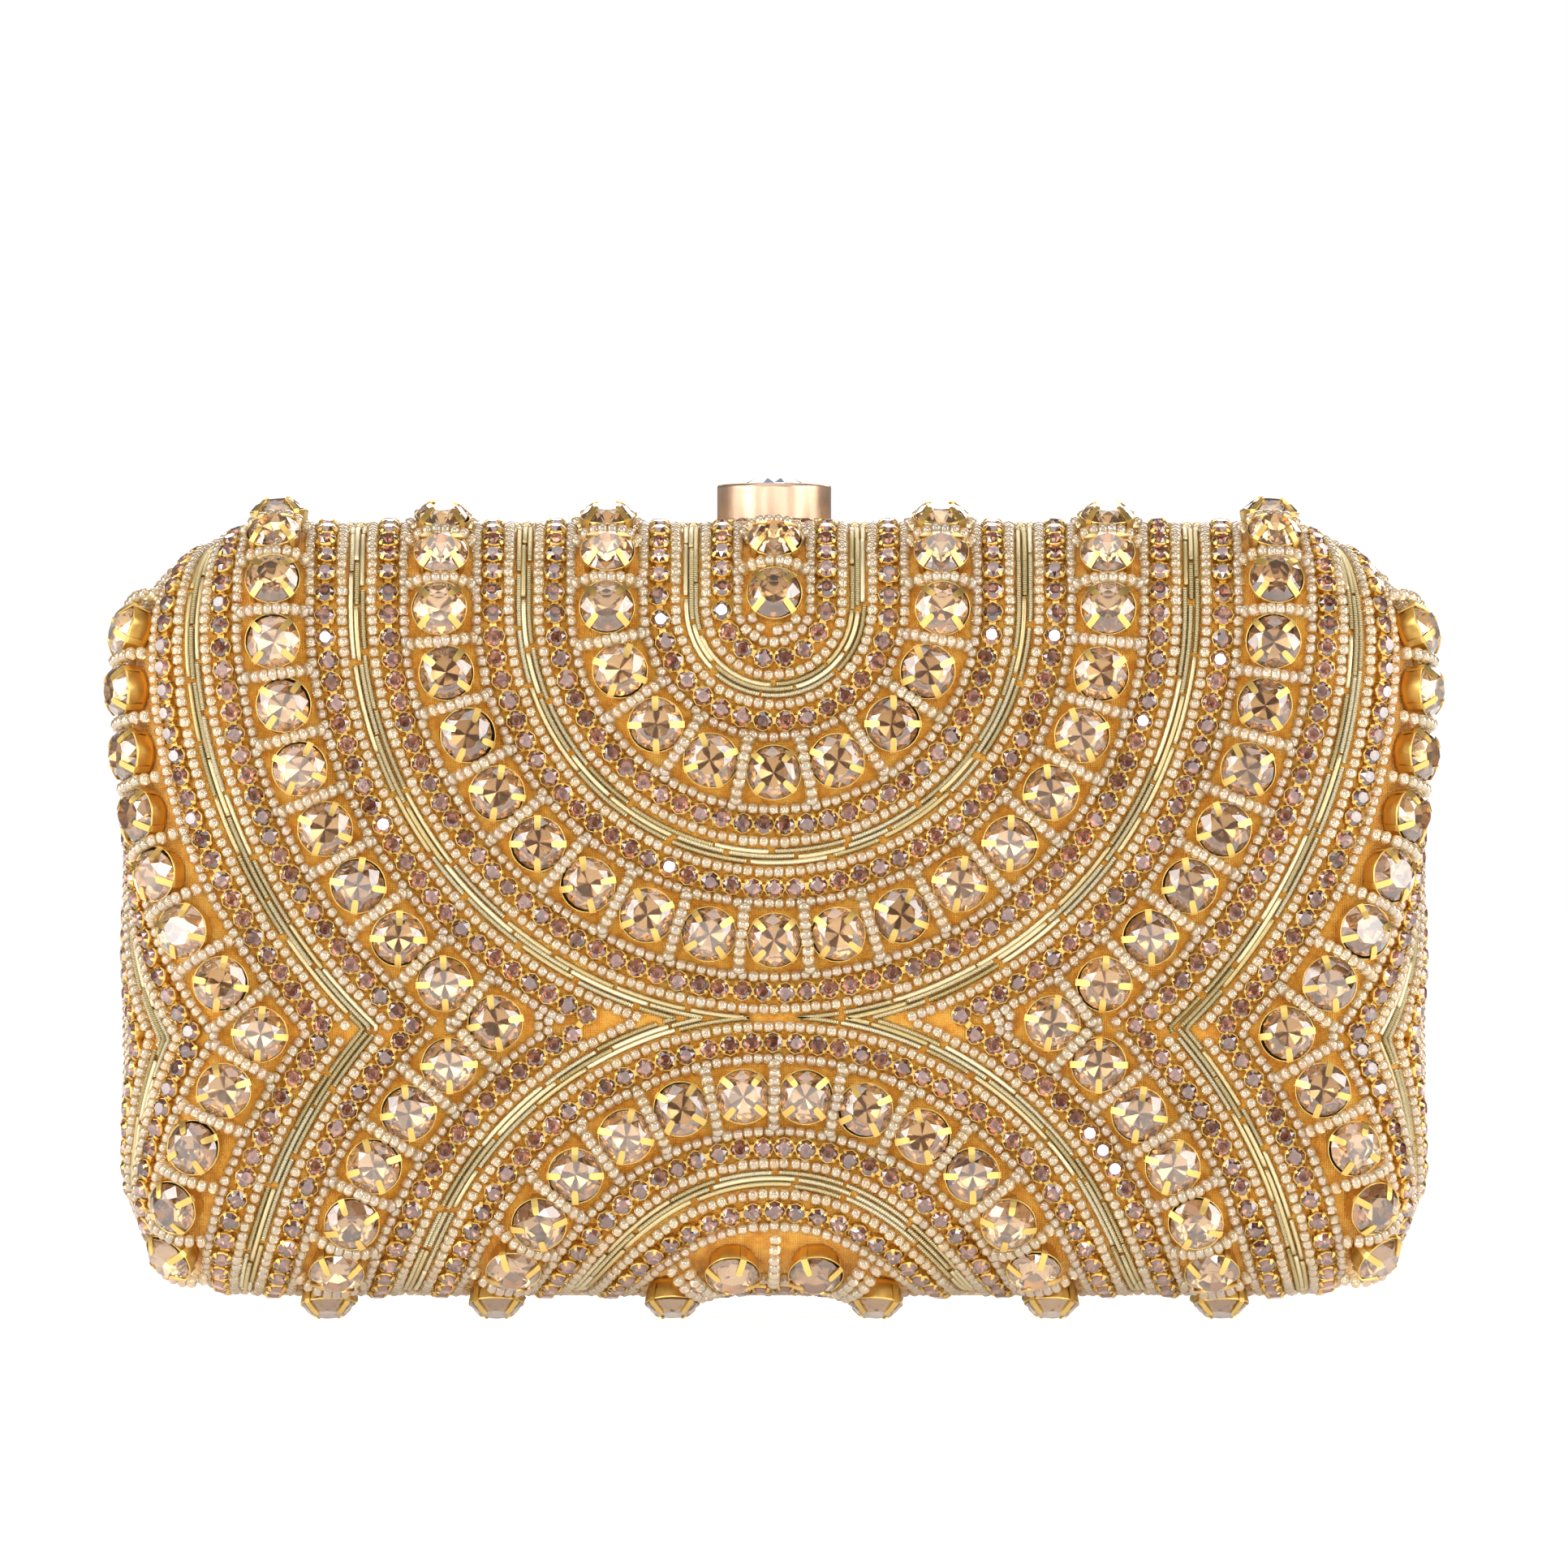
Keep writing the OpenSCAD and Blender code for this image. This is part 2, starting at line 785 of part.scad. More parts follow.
// Stem with a bridge whose two legs straddle the keeper's tongue and bear on the leaf
module plunger() {
  leg_x = 1.8;
  leg_y = 2.4;
  bridge_y = 4.8;
  leg_low = leaf_top + 0.1;
  color(steel) {
    translate([0, stem_y, stop_z]) cylinder(r = stem_r, h = knob_top_z - crystal_seat - stop_z);
    translate([-bridge_x, leaf_mid_y - bridge_y / 2, stop_z - bridge_t])
      cube([2 * bridge_x, bridge_y, bridge_t]);
    for (side = [-1, 1])
      translate([side * (bridge_x - leg_x / 2) - leg_x / 2, leaf_mid_y - leg_y / 2, leg_low])
        cube([leg_x, leg_y, stop_z - bridge_t - leg_low]);
  }
}

// Coil spring between the collar's flange and the knob's roof, swept as a polyhedron
spring_r = 4.4;
spring_wire_r = 0.3;
spring_turns = 3;
spring_steps = 60;
spring_sides = 8;

function spring_ring(i) =
  let (
    a = 360 * spring_turns * i / spring_steps,
    z0 = rim_top + collar_flange_t + spring_wire_r + running_gap,
    z1 = knob_base_z + knob_h - knob_roof - spring_wire_r - running_gap,
    z = z0 + (z1 - z0) * i / spring_steps
  )
  [for (k = [0 : spring_sides - 1])
    let (b = 360 * k / spring_sides, r = spring_r + spring_wire_r * cos(b))
    [r * cos(a), stem_y + r * sin(a), z + spring_wire_r * sin(b)]];

module return_spring() {
  rings = [for (i = [0 : spring_steps]) each spring_ring(i)];
  last = spring_steps * spring_sides;
  sides = [for (i = [0 : spring_steps - 1], k = [0 : spring_sides - 1])
    let (a = i * spring_sides, b = (k + 1) % spring_sides)
    [a + k, a + spring_sides + k, a + spring_sides + b, a + b]];
  start = [for (k = [0 : spring_sides - 1]) k];
  end = [for (k = [spring_sides - 1 : -1 : 0]) last + k];
  color(steel) polyhedron(points = rings, faces = concat([start], sides, [end]));
}

front_shell();
front_cover();
front_lining();
front_frame();
front_frame_rivets();
front_stone_cups();
front_stones();
front_foot_cups();
front_foot_stones();
keeper();
keeper_rivets();
rear_shell();
rear_cover();
rear_lining();
rear_frame();
rear_frame_rivets();
rear_stone_cups();
rear_stones();
rear_foot_cups();
rear_foot_stones();
slip_pocket();
hinge_pin();
chain_lug_left();
chain_lug_right();
lock_housing();
lock_screws();
catch_leaf();
catch_leaf_rivet();
knob_collar();
knob();
knob_crystal();
plunger();
return_spring();
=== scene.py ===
"""Beaded evening bag: cloth, beads, cup chain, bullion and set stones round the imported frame.

Lengths are in millimetres until a mesh is made. The cover is described flat, with its rounded
edges rolled out: a flat point is (x, w), and on_cover() bends it round the case. Every row of
the embroidery is a line of equal distance from an upper and a lower centre, repeated at one
period. side is -1 on the front half and 1 on the rear half.
"""
import math

import bpy
import numpy as np
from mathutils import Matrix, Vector


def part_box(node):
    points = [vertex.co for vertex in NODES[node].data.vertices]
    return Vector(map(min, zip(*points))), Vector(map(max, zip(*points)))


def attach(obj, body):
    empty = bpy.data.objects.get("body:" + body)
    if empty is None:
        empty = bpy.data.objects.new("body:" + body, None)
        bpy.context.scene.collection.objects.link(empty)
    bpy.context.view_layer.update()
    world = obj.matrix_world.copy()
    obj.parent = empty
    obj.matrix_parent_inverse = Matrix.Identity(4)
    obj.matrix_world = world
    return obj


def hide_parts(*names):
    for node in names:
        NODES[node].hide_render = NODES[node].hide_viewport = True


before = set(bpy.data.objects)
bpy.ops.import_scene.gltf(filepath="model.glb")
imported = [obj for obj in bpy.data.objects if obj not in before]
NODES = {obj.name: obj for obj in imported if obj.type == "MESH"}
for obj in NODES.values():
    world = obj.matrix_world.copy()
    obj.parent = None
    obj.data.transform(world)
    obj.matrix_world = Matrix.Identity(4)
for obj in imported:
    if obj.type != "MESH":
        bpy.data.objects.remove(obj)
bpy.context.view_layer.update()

MM = 0.001

# ------ sizes of the case and the knob
cover_low, cover_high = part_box("front_cover")
CASE_X = cover_high.x / MM
CASE_BOTTOM = cover_low.z / MM
CASE_TOP = cover_high.z / MM
HALF_DEPTH = -cover_low.y / MM
RIM_FACE = -cover_high.y / MM
# Rounding of the case's edges, then of its outline's corners
EDGE_R = 16.0
TOP_CORNER_R = 23.5
BOTTOM_CORNER_R = 18.5
WALL = HALF_DEPTH - EDGE_R
# The core is the flat middle of the face; REACH is the way from its outline to the rim
CORE_X = CASE_X - EDGE_R
CORE_TOP = CASE_TOP - EDGE_R
CORE_BOTTOM = CASE_BOTTOM + EDGE_R
CASE_MID = (CASE_TOP + CASE_BOTTOM) / 2
ARC = EDGE_R * math.pi / 2
REACH = ARC + WALL - RIM_FACE

knob_low, knob_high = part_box("knob")
KNOB_R = (knob_high.x - knob_low.x) / 2 / MM
KNOB_Y = (knob_high.y + knob_low.y) / 2 / MM
KNOB_TOP = knob_high.z / MM
# Radius of the ring of rose stones round the knob, and the room it takes from other rows
KNOB_RING = KNOB_R + 2.1
KNOB_RING_ROOM = 2.9

# ------ the curve family of the embroidery
# The two centres. A line lies nearer to the lower one, by LEAD.
UPPER = np.array([0.0, CASE_TOP - 11.4])
LOWER = np.array([0.0, CASE_BOTTOM - 14.0])
LEAD = 7.4
PERIOD = 25.3
SPAN = UPPER[1] - LOWER[1]
# From this distance on, the upper and the lower curve meet in a point on each side
CROSS = (SPAN + LEAD) / 2
ROW_COUNT = 6
# Rows whose two curves stay apart, rows whose curves meet, and rows that hold a foot stone
OPEN_ROWS = (1, 2)
POINTED_ROWS = (3, 4)
FOOT_ROWS = (1, 2, 3)
# This row has no large stones, and rows of seed beads fill it
SIDE_ROW = 5

# Large stones: pitch, the height where it is measured, and how far over the edge they go
STONE_PITCH = 9.9
STONE_MID = 3.5
STONE_LIMIT = ARC + 0.3
# Other beads stay this far from the middle of a corner stone
STONE_ROOM = 5.2
# At a wider pitch, two bars of beads lie between two stones, this far from the gap's middle
WIDE_PITCH = 11.5
BAR_PAIR = 1.05
# Where the feet stand on the lower edge, and the room that bars leave below them
FOOT_TILT = 75.5
FOOT_W = CORE_BOTTOM - EDGE_R * math.radians(FOOT_TILT)
FOOT_CLEAR = 5.4
# The middle row's stones and bars, over the upper centre, and the arc of beads below them
MIDDLE_STONES = (1.0, 9.4)
MIDDLE_BARS = (5.4, 13.6)
MIDDLE_ARC = 3.8
RIM_BAR_LIMIT = REACH - 2.4
RIM_BAR_PITCH = 1.95

# Where each kind of line lies, measured from one row of large stones towards the next
STONE_ROW_BEADS = (5.5, PERIOD - 5.5)
CHAIN_ROWS = (7.9, PERIOD - 7.9)
CHAIN_ROW_BEADS = (10.35, PERIOD - 10.35)
BULLION_ROWS = (11.8, 12.65, 13.5)
SIDE_BEADS = tuple(np.arange(-3.7, 4.6, 1.85))

# Seed beads in rows: radius, half length, pitch, and height of the middle over the cover
SEED_R = 0.92
SEED_HALF = 0.76
SEED_PITCH = 1.58
SEED_LIFT = 0.85
# Corner beads: pitch, and the first column and the wedge's point, from the bead row's corner
CORNER_PITCH = 1.6
CORNER_FIRST = 2.3
CORNER_POINT = 1.7
# Beads of a bar closer than this are left out
BAR_BEAD_ROOM = 1.05
# Cup chain: pitch, and the widest step between two cups that a link still spans
CHAIN_PITCH = 3.28
LINK_SPAN = 3.9
# Bullion: radius, sides, and half of the gap between two lengths
WIRE_R = 0.43
WIRE_SIDES = 6
WIRE_GAP = 0.12


def core_point(p):
    """Nearest point of the flat core, whose corners are rounded, to each flat point."""
    r = np.where(p[:, 1] > CASE_MID, TOP_CORNER_R, BOTTOM_CORNER_R) - EDGE_R
    c = np.stack([
        np.clip(p[:, 0], r - CORE_X, CORE_X - r),
        np.clip(p[:, 1], CORE_BOTTOM + r, CORE_TOP - r),
    ], axis=1)
    v = p - c
    d = np.linalg.norm(v, axis=1)
    out = c + v * (r / np.maximum(d, 1e-9))[:, None]
    return np.where((d <= r)[:, None], p, out)


def reach(p):
    """How far each flat point lies outside the core."""
    return np.linalg.norm(p - core_point(p), axis=1)


def on_cover(p, h, side):
    """Positions h above the cover and outward normals there, for flat points p."""
    c = core_point(p)
    v = p - c
    d = np.linalg.norm(v, axis=1)
    e = v / np.maximum(d, 1e-9)[:, None]
    bend = np.minimum(d / EDGE_R, math.pi / 2)
    run = np.maximum(d - ARC, 0)
    n = np.stack([e[:, 0] * np.sin(bend), -np.cos(bend), e[:, 1] * np.sin(bend)], axis=1)
    base = np.stack([c[:, 0], run - WALL, c[:, 1]], axis=1)
    pos = base + n * (EDGE_R + np.reshape(h, (-1, 1)))
    flip = np.array([1, -side, 1])
    return pos * flip, n * flip


def unit(v):
    return v / np.maximum(np.linalg.norm(v, axis=-1, keepdims=True), 1e-9)


def lengths(pts):
    steps = np.linalg.norm(np.diff(pts, axis=0), axis=1)
    return np.concatenate([[0], np.cumsum(steps)])


def at_lengths(values, ls, s):
    """Rows of values, given at the lengths ls, worked out at the lengths s."""
    return np.stack([np.interp(s, ls, values[:, k]) for k in range(values.shape[1])], axis=1)


def polar(centre, r, degrees):
    """Points at one distance from a centre, at one or more angles."""
    a = np.radians(degrees)
    return centre + r * np.stack([np.cos(a), np.sin(a)], axis=-1)


def joined(parts):
    """Tuples of arrays, put end to end item by item."""
    return tuple(np.concatenate(items) for items in zip(*parts))


def upright(count):
    """Flat directions that all point up."""
    return np.tile([0.0, 1.0], (count, 1))


# ------ paths in the flat
def arc_and_line(centre, r, start, up, steps=160):
    """From an angle round to the level of the centre, then straight up (up 1) or down (-1)."""
    arc = polar(centre, r, start * (1 - np.arange(steps + 1) / steps))
    t = np.arange(0.5, 60, 0.5)
    line = centre + np.stack([np.full(len(t), r), up * t], axis=1)
    return np.concatenate([arc, line])


def meeting(dist):
    """Angles, on the upper and the lower curve, at which the curves of one distance meet."""
    low = dist - LEAD
    h = (low ** 2 - dist ** 2 + SPAN ** 2) / (2 * SPAN)
    return -math.degrees(math.asin((SPAN - h) / dist)), math.degrees(math.asin(h / low))


def mirrored(path):
    return path * np.array([-1, 1])


def lines_at(dist):
    """Every whole flat line at one distance from the two centres."""
    if dist < CROSS:
        halves = [arc_and_line(UPPER, dist, -90, 1)]
        if dist - LEAD > 1:
            halves.append(arc_and_line(LOWER, dist - LEAD, 90, -1))
        return [np.concatenate([mirrored(line)[::-1], line[1:]]) for line in halves]
    a_up, a_low = meeting(dist)
    upper = arc_and_line(UPPER, dist, a_up, 1)
    lower = arc_and_line(LOWER, dist - LEAD, a_low, -1)
    right = np.concatenate([upper[::-1], lower[1:]])
    return [right, mirrored(right)]


def near_knob(pos, margin):
    flat_r = np.hypot(pos[:, 0], pos[:, 1] - KNOB_Y)
    return (flat_r < KNOB_R + margin) & (pos[:, 2] > CASE_TOP - 4)


def strands(dist, h, side, edge):
    """Each unbroken run of a line on the cover: positions, normals and lengths at height h."""
    out = []
    for path in lines_at(dist):
        ls = lengths(path)
        fine = at_lengths(path, ls, np.arange(0, ls[-1], 0.25))
        pos, n = on_cover(fine, h, side)
        good = (reach(fine) < REACH - edge) & ~near_knob(pos, edge + KNOB_RING_ROOM)
        breaks = np.flatnonzero(np.diff(good.astype(int)))
        for run in np.split(np.arange(len(fine)), breaks + 1):
            if good[run[0]] and len(run) > 12:
                out.append((pos[run], n[run], lengths(pos[run])))
    return out


def strands_of(offsets, h, side, edge, rows=range(ROW_COUNT)):
    """The strands of every line of one kind."""
    return [
        strand for row in rows for offset in offsets
        for strand in strands(row * PERIOD + offset, h, side, edge)
    ]


def along(strand, pitch):
    """Positions, tangents and normals at equal steps along a strand."""
    pos, n, ls = strand
    count = max(int(ls[-1] / pitch), 1)
    s = (np.arange(count) + 0.5) * ls[-1] / count
    step = 0.2
    tangent = unit(at_lengths(pos, ls, s + step) - at_lengths(pos, ls, s - step))
    return at_lengths(pos, ls, s), tangent, unit(at_lengths(n, ls, s))


def frames(tangent, normal):
    """Right-handed axes: X along the line, Y across it, Z out of the cover."""
    y = unit(np.cross(normal, tangent))
    return np.stack([np.cross(y, normal), y, normal], axis=2)


# ------ places of stones, bars and beads
class Branch:
    """Half of a row of large stones, from its middle outwards. Its first stone lies first
    pitches from the start of the path, and its last one well above end."""

    def __init__(self, path, first, pitch, end=None):
        self.path, self.first, self.pitch = path, first, pitch
        self.ls = lengths(on_cover(path, STONE_MID, -1)[0])
        s = np.arange(first * pitch, self.ls[-1], pitch)
        p = at_lengths(path, self.ls, s)
        keep = reach(p) < STONE_LIMIT
        if end is not None:
            keep &= p[:, 1] > end + 4
        self.s = s[keep]

    def flat(self, s):
        return at_lengths(self.path, self.ls, np.asarray(s))

    def directions(self, s):
        return unit(self.flat(s + 0.3) - self.flat(s - 0.3))


def upper_branch(row, start):
    return Branch(arc_and_line(UPPER, row * PERIOD, start, 1, 40), 0, STONE_PITCH)


def lower_path(row, start):
    return arc_and_line(LOWER, row * PERIOD - LEAD, start, -1, 40)


def lower_branch(row, start, first):
    path = lower_path(row, start)
    path = path[path[:, 1] > FOOT_W]
    span = lengths(on_cover(path, STONE_MID, -1)[0])[-1]
    count = round(span / STONE_PITCH - first)
    return Branch(path, first, span / (count + first), FOOT_W)


def stone_branches():
    out = [upper_branch(row, -90) for row in OPEN_ROWS]
    out += [lower_branch(row, 90, 0.5) for row in OPEN_ROWS]
    for row in POINTED_ROWS:
        a_up, a_low = meeting(row * PERIOD)
        out += [upper_branch(row, a_up), lower_branch(row, a_low, 1)]
    return out


def corner_bead_places(side):
    """Beads that fill the pointed end of each row of large stones, beyond its corner stone,
    and a short arc under the lower middle stone."""
    corner_stones = [polar(UPPER, row * PERIOD, meeting(row * PERIOD)[0]) for row in POINTED_ROWS]
    found = [polar(UPPER, MIDDLE_ARC, np.array([-82, -57, -32]))]
    for row, stone in zip(POINTED_ROWS, corner_stones):
        dist = (row - 1) * PERIOD + STONE_ROW_BEADS[1]
        a_up, a_low = meeting(dist)
        tip = polar(UPPER, dist, a_up)
        opening = math.tan(math.radians(90 - (a_low - a_up) / 2))
        for d in np.arange(CORNER_FIRST, np.linalg.norm(stone - tip), CORNER_PITCH)[:-1]:
            count = int(2 * (d - CORNER_POINT) * opening / CORNER_PITCH) + 1
            z = (np.arange(count) - (count - 1) / 2) * CORNER_PITCH
            found.append(np.stack([np.full(count, tip[0] + d), tip[1] + z], axis=1))
    flat = np.concatenate(found)
    for stone in corner_stones:
        flat = flat[np.linalg.norm(flat - stone, axis=1) > STONE_ROOM]
    return placed(*both_hands(flat, upright(len(flat))), SEED_LIFT, side)


def rim_bar_places(side):
    """Low bars that fill each row of large stones from its last stone to the rim."""
    found = []
    for b in stone_branches():
        if b.first == 0:
            s = np.arange(b.s[-1] + b.pitch / 2 + RIM_BAR_PITCH, b.ls[-1], RIM_BAR_PITCH)
            found.append((b, s))
    for row in FOOT_ROWS:
        b = Branch(lower_path(row, 60), 0, STONE_PITCH)
        s = np.arange(0, b.ls[-1], RIM_BAR_PITCH)
        found.append((b, s[b.flat(s)[:, 1] < FOOT_W - FOOT_CLEAR]))
    middle = Branch(UPPER + np.stack([np.zeros(60), np.arange(60.0)], axis=1), 0, STONE_PITCH)
    s = np.arange(MIDDLE_BARS[-1] + RIM_BAR_PITCH, middle.ls[-1], RIM_BAR_PITCH)
    found.append((middle, s))
    bars = []
    for b, s in found:
        s = s[reach(b.flat(s)) < RIM_BAR_LIMIT]
        bars.append((b.flat(s), b.directions(s)))
    pos, axes = placed(*both_hands(*joined(bars)), 0, side)
    clear = ~near_knob(pos, 1.0 + KNOB_RING_ROOM)
    return pos[clear], axes[clear]


def placed(flat, direction, h, side):
    """Positions and axes for flat points with flat directions, h above the cover."""
    pos, n = on_cover(flat, h, side)
    ahead, _ = on_cover(flat + direction * 0.05, h, side)
    return pos, frames(unit(ahead - pos), n)


def both_hands(flat, direction):
    """The points and their mirror images, with points on the middle line kept once."""
    off = flat[:, 0] > 1
    return [np.concatenate([kind, mirrored(kind[off])]) for kind in (flat, direction)]


def stone_places(side):
    """Axes of the field stones, of the foot stones and of the bars of beads between stones."""
    stones, bars = [], []
    for b in stone_branches():
        stones.append((b.flat(b.s), b.directions(b.s)))
        s = b.s + b.pitch / 2
        if b.pitch > WIDE_PITCH:
            s = np.concatenate([s - BAR_PAIR, s + BAR_PAIR])
        if b.first == 0.5:
            s = np.concatenate([[0.01], s])
        elif b.first == 1:
            s = np.concatenate([[b.pitch / 2], s])
        s = s[(reach(b.flat(s)) < STONE_LIMIT + 2) & (s < b.ls[-1])]
        bars.append((b.flat(s), b.directions(s)))
    for rows, heights in ((stones, MIDDLE_STONES), (bars, MIDDLE_BARS)):
        rows.append((UPPER + np.array([[0, up] for up in heights]), upright(len(heights))))

    r = np.array([row * PERIOD - LEAD for row in FOOT_ROWS])
    foot_x = np.sqrt(r ** 2 - (FOOT_W - LOWER[1]) ** 2)
    feet = (np.stack([foot_x, np.full(len(r), FOOT_W)], axis=1), upright(len(r)))
    kinds = (joined(stones), feet, joined(bars))
    return [placed(*both_hands(*kind), 0, side) for kind in kinds]


# ------ mesh making
class Template:
    """A small closed mesh: points, faces, and each face's material number and smoothness."""

    def __init__(self):
        self.points, self.faces, self.material, self.smooth = [], [], [], []

    def add_faces(self, faces, base, material, smooth):
        self.faces += [tuple(base + k for k in f) for f in faces]
        self.material += [material] * len(faces)
        self.smooth += [smooth] * len(faces)

    def add(self, points, faces, material=0, smooth=True):
        base = len(self.points)
        self.points += [tuple(p) for p in points]
        self.add_faces(faces, base, material, smooth)
        return self

    def add_stone(self, points, crown, pavilion, material=0):
        """A cut stone, its crown in one material and its pavilion in the next one."""
        base = len(self.points)
        self.add(points, crown, material, False)
        self.add_faces(pavilion, base, material + 1, False)
        return self

    def add_prongs(self, stations, width, thick):
        """Four bent strips at the corners of a square."""
        for degrees in (45, 135, 225, 315):
            points, faces = strip_points(stations, width, thick, math.radians(degrees))
            self.add(points, faces, smooth=False)
        return self


def ring_points(r, z, count, turn=0.0):
    a = (np.arange(count) + turn) * 2 * math.pi / count
    return [(r * math.cos(k), r * math.sin(k), z) for k in a]


def between_rings(a, b, count):
    """Faces from ring a up to ring b, each with its first point's number."""
    return [(a + k, a + (k + 1) % count, b + (k + 1) % count, b + k) for k in range(count)]


def tube_faces(start, rings, sides):
    """Faces of a tube with flat ends, whose rings follow each other from one point's number."""
    last = start + (rings - 1) * sides
    faces = []
    for k in range(start, last, sides):
        faces += between_rings(k, k + sides, sides)
    return faces + [tuple(range(start, start + sides))[::-1], tuple(range(last, last + sides))]


def revolved(profile, count):
    """Points and faces of a profile of (r, z) turned about Z, with flat ends."""
    points = []
    for r, z in profile:
        points += ring_points(r, z, count)
    return points, tube_faces(0, len(profile), count)


def strip_points(stations, width, thick, angle):
    """A bent strip at an angle about Z, from stations of (r, z, tilt, share of the width)."""
    points = []
    ca, sa = math.cos(angle), math.sin(angle)
    for r, z, tilt, share in stations:
        for across in (-0.5, 0.5):
            for out in (-0.5, 0.5):
                x = r + out * thick * math.cos(tilt)
                y = across * width * share
                points.append((x * ca - y * sa, x * sa + y * ca, z + out * thick * math.sin(tilt)))
    end = 4 * len(stations) - 4
    faces = []
    for k in range(0, end, 4):
        for i, j in ((0, 1), (1, 3), (3, 2), (2, 0)):
            faces.append((k + i, k + 4 + i, k + 4 + j, k + j))
    faces += [(0, 1, 3, 2), (end, end + 2, end + 3, end + 1)]
    return points, faces


def instances(name, template, pos, axes, materials, scale=1.0, tone=None):
    """One mesh with the template at every place. Each place can have its own size and tone."""
    points = np.array(template.points)
    count, size = len(pos), len(points)
    scale = np.broadcast_to(np.asarray(scale, float), (count,))
    co = np.einsum("nij,vj->nvi", axes, points) * scale[:, None, None] + pos[:, None, :]
    corners = np.concatenate(template.faces)
    mesh = bpy.data.meshes.new(name)
    all_corners = (np.arange(count)[:, None] * size + corners).reshape(-1)
    all_totals = np.tile([len(f) for f in template.faces], count)
    starts = np.concatenate([[0], np.cumsum(all_totals)[:-1]])
    mesh.vertices.add(count * size)
    mesh.loops.add(len(all_corners))
    mesh.polygons.add(len(all_totals))
    for rows, key, values, kind in (
        (mesh.vertices, "co", co.reshape(-1) * MM, np.float32),
        (mesh.loops, "vertex_index", all_corners, np.int32),
        (mesh.polygons, "loop_start", starts, np.int32),
        (mesh.polygons, "material_index", np.tile(template.material, count), np.int32),
        (mesh.polygons, "use_smooth", np.tile(template.smooth, count), bool),
    ):
        rows.foreach_set(key, values.astype(kind))
    mesh.update(calc_edges=True)
    if tone is not None:
        keep_values(mesh, "tone", np.repeat(tone, size))
    return new_piece(name, mesh, materials)


def keep_values(mesh, key, values):
    """Keeps one number per point as a mesh attribute, which a material can read."""
    layer = mesh.attributes.new(key, "FLOAT", "POINT")
    layer.data.foreach_set("value", values.astype(np.float32))


def add_object(name, data, place=(0, 0, 0)):
    made = bpy.data.objects.new(name, data)
    bpy.context.scene.collection.objects.link(made)
    made.location = place
    return made


def new_piece(name, mesh, materials):
    for material in materials:
        mesh.materials.append(material)
    return add_object(name, mesh)


def grid_piece(name, co, materials, round_first=False):
    """A mesh from a grid of points (rows, columns, 3). With round_first, each row is a closed
    ring, and one face fills the first ring."""
    rows, cols = co.shape[:2]
    idx = np.arange(rows * cols).reshape(rows, cols)
    left, right = idx[:, :-1], idx[:, 1:]
    if round_first:
        left, right = idx, np.roll(idx, -1, axis=1)
    faces = np.stack([left[:-1], right[:-1], right[1:], left[1:]], axis=-1).reshape(-1, 4).tolist()
    if round_first:
        faces.append(list(range(cols))[::-1])
    return smooth_piece(name, co.reshape(-1, 3), faces, materials)


def smooth_piece(name, co, faces, materials):
    """A smooth-shaded piece from points in millimetres and faces."""
    mesh = bpy.data.meshes.new(name)
    mesh.from_pydata((co * MM).tolist(), [], faces)
    mesh.polygons.foreach_set("use_smooth", [True] * len(mesh.polygons))
    return new_piece(name, mesh, materials)


# ------ materials
class Nodes:
    """A node tree. A node's input can be a number, a colour or another node's output."""

    def __init__(self, tree):
        self.tree = tree

    def node(self, kind, inputs=None, **props):
        made = self.tree.nodes.new(kind)
        for key, value in props.items():
            setattr(made, key, value)
        for key, value in (inputs or {}).items():
            if hasattr(value, "is_linked"):
                self.tree.links.new(value, made.inputs[key])
            else:
                made.inputs[key].default_value = value
        return made

    def place(self):
        return self.node("ShaderNodeTexCoord").outputs["Object"]

    def camera_ray(self):
        return self.node("ShaderNodeLightPath").outputs["Is Camera Ray"]

    def attribute(self, name):
        return self.node("ShaderNodeAttribute", attribute_name=name).outputs["Fac"]

    def noise(self, scale, detail=3.0, rough=0.5, vector=None):
        vector = vector or self.place()
        inputs = {"Vector": vector, "Scale": scale, "Detail": detail, "Roughness": rough}
        return self.node("ShaderNodeTexNoise", inputs).outputs["Fac"]

    def wave(self, scale, distortion, direction):
        inputs = {"Vector": self.place(), "Scale": scale, "Distortion": distortion}
        made = self.node("ShaderNodeTexWave", inputs, bands_direction=direction)
        return made.outputs["Fac"]

    def math(self, operation, a, b=0.5):
        return self.node("ShaderNodeMath", {0: a, 1: b}, operation=operation).outputs[0]

    def span(self, fac, low, high, start=0.0, end=1.0):
        """A factor's range from start to end, spread from low to high."""
        inputs = {"Value": fac, "From Min": start, "From Max": end, "To Min": low, "To Max": high}
        return self.node("ShaderNodeMapRange", inputs).outputs[0]

    def ramp(self, fac, *stops):
        """Colours by a factor, from stops of (place, colour)."""
        made = self.node("ShaderNodeValToRGB", {"Fac": fac})
        elements = made.color_ramp.elements
        while len(elements) < len(stops):
            elements.new(0.5)
        for element, (place, color) in zip(elements, stops):
            element.position = place
            element.color = (*color, 1)
        return made.outputs["Color"]

    def blend(self, fac, first, color):
        """From the first colour to a second one, by a factor."""
        inputs = {"Fac": fac, "Color1": first, "Color2": (*color, 1)}
        return self.node("ShaderNodeMixRGB", inputs).outputs["Color"]


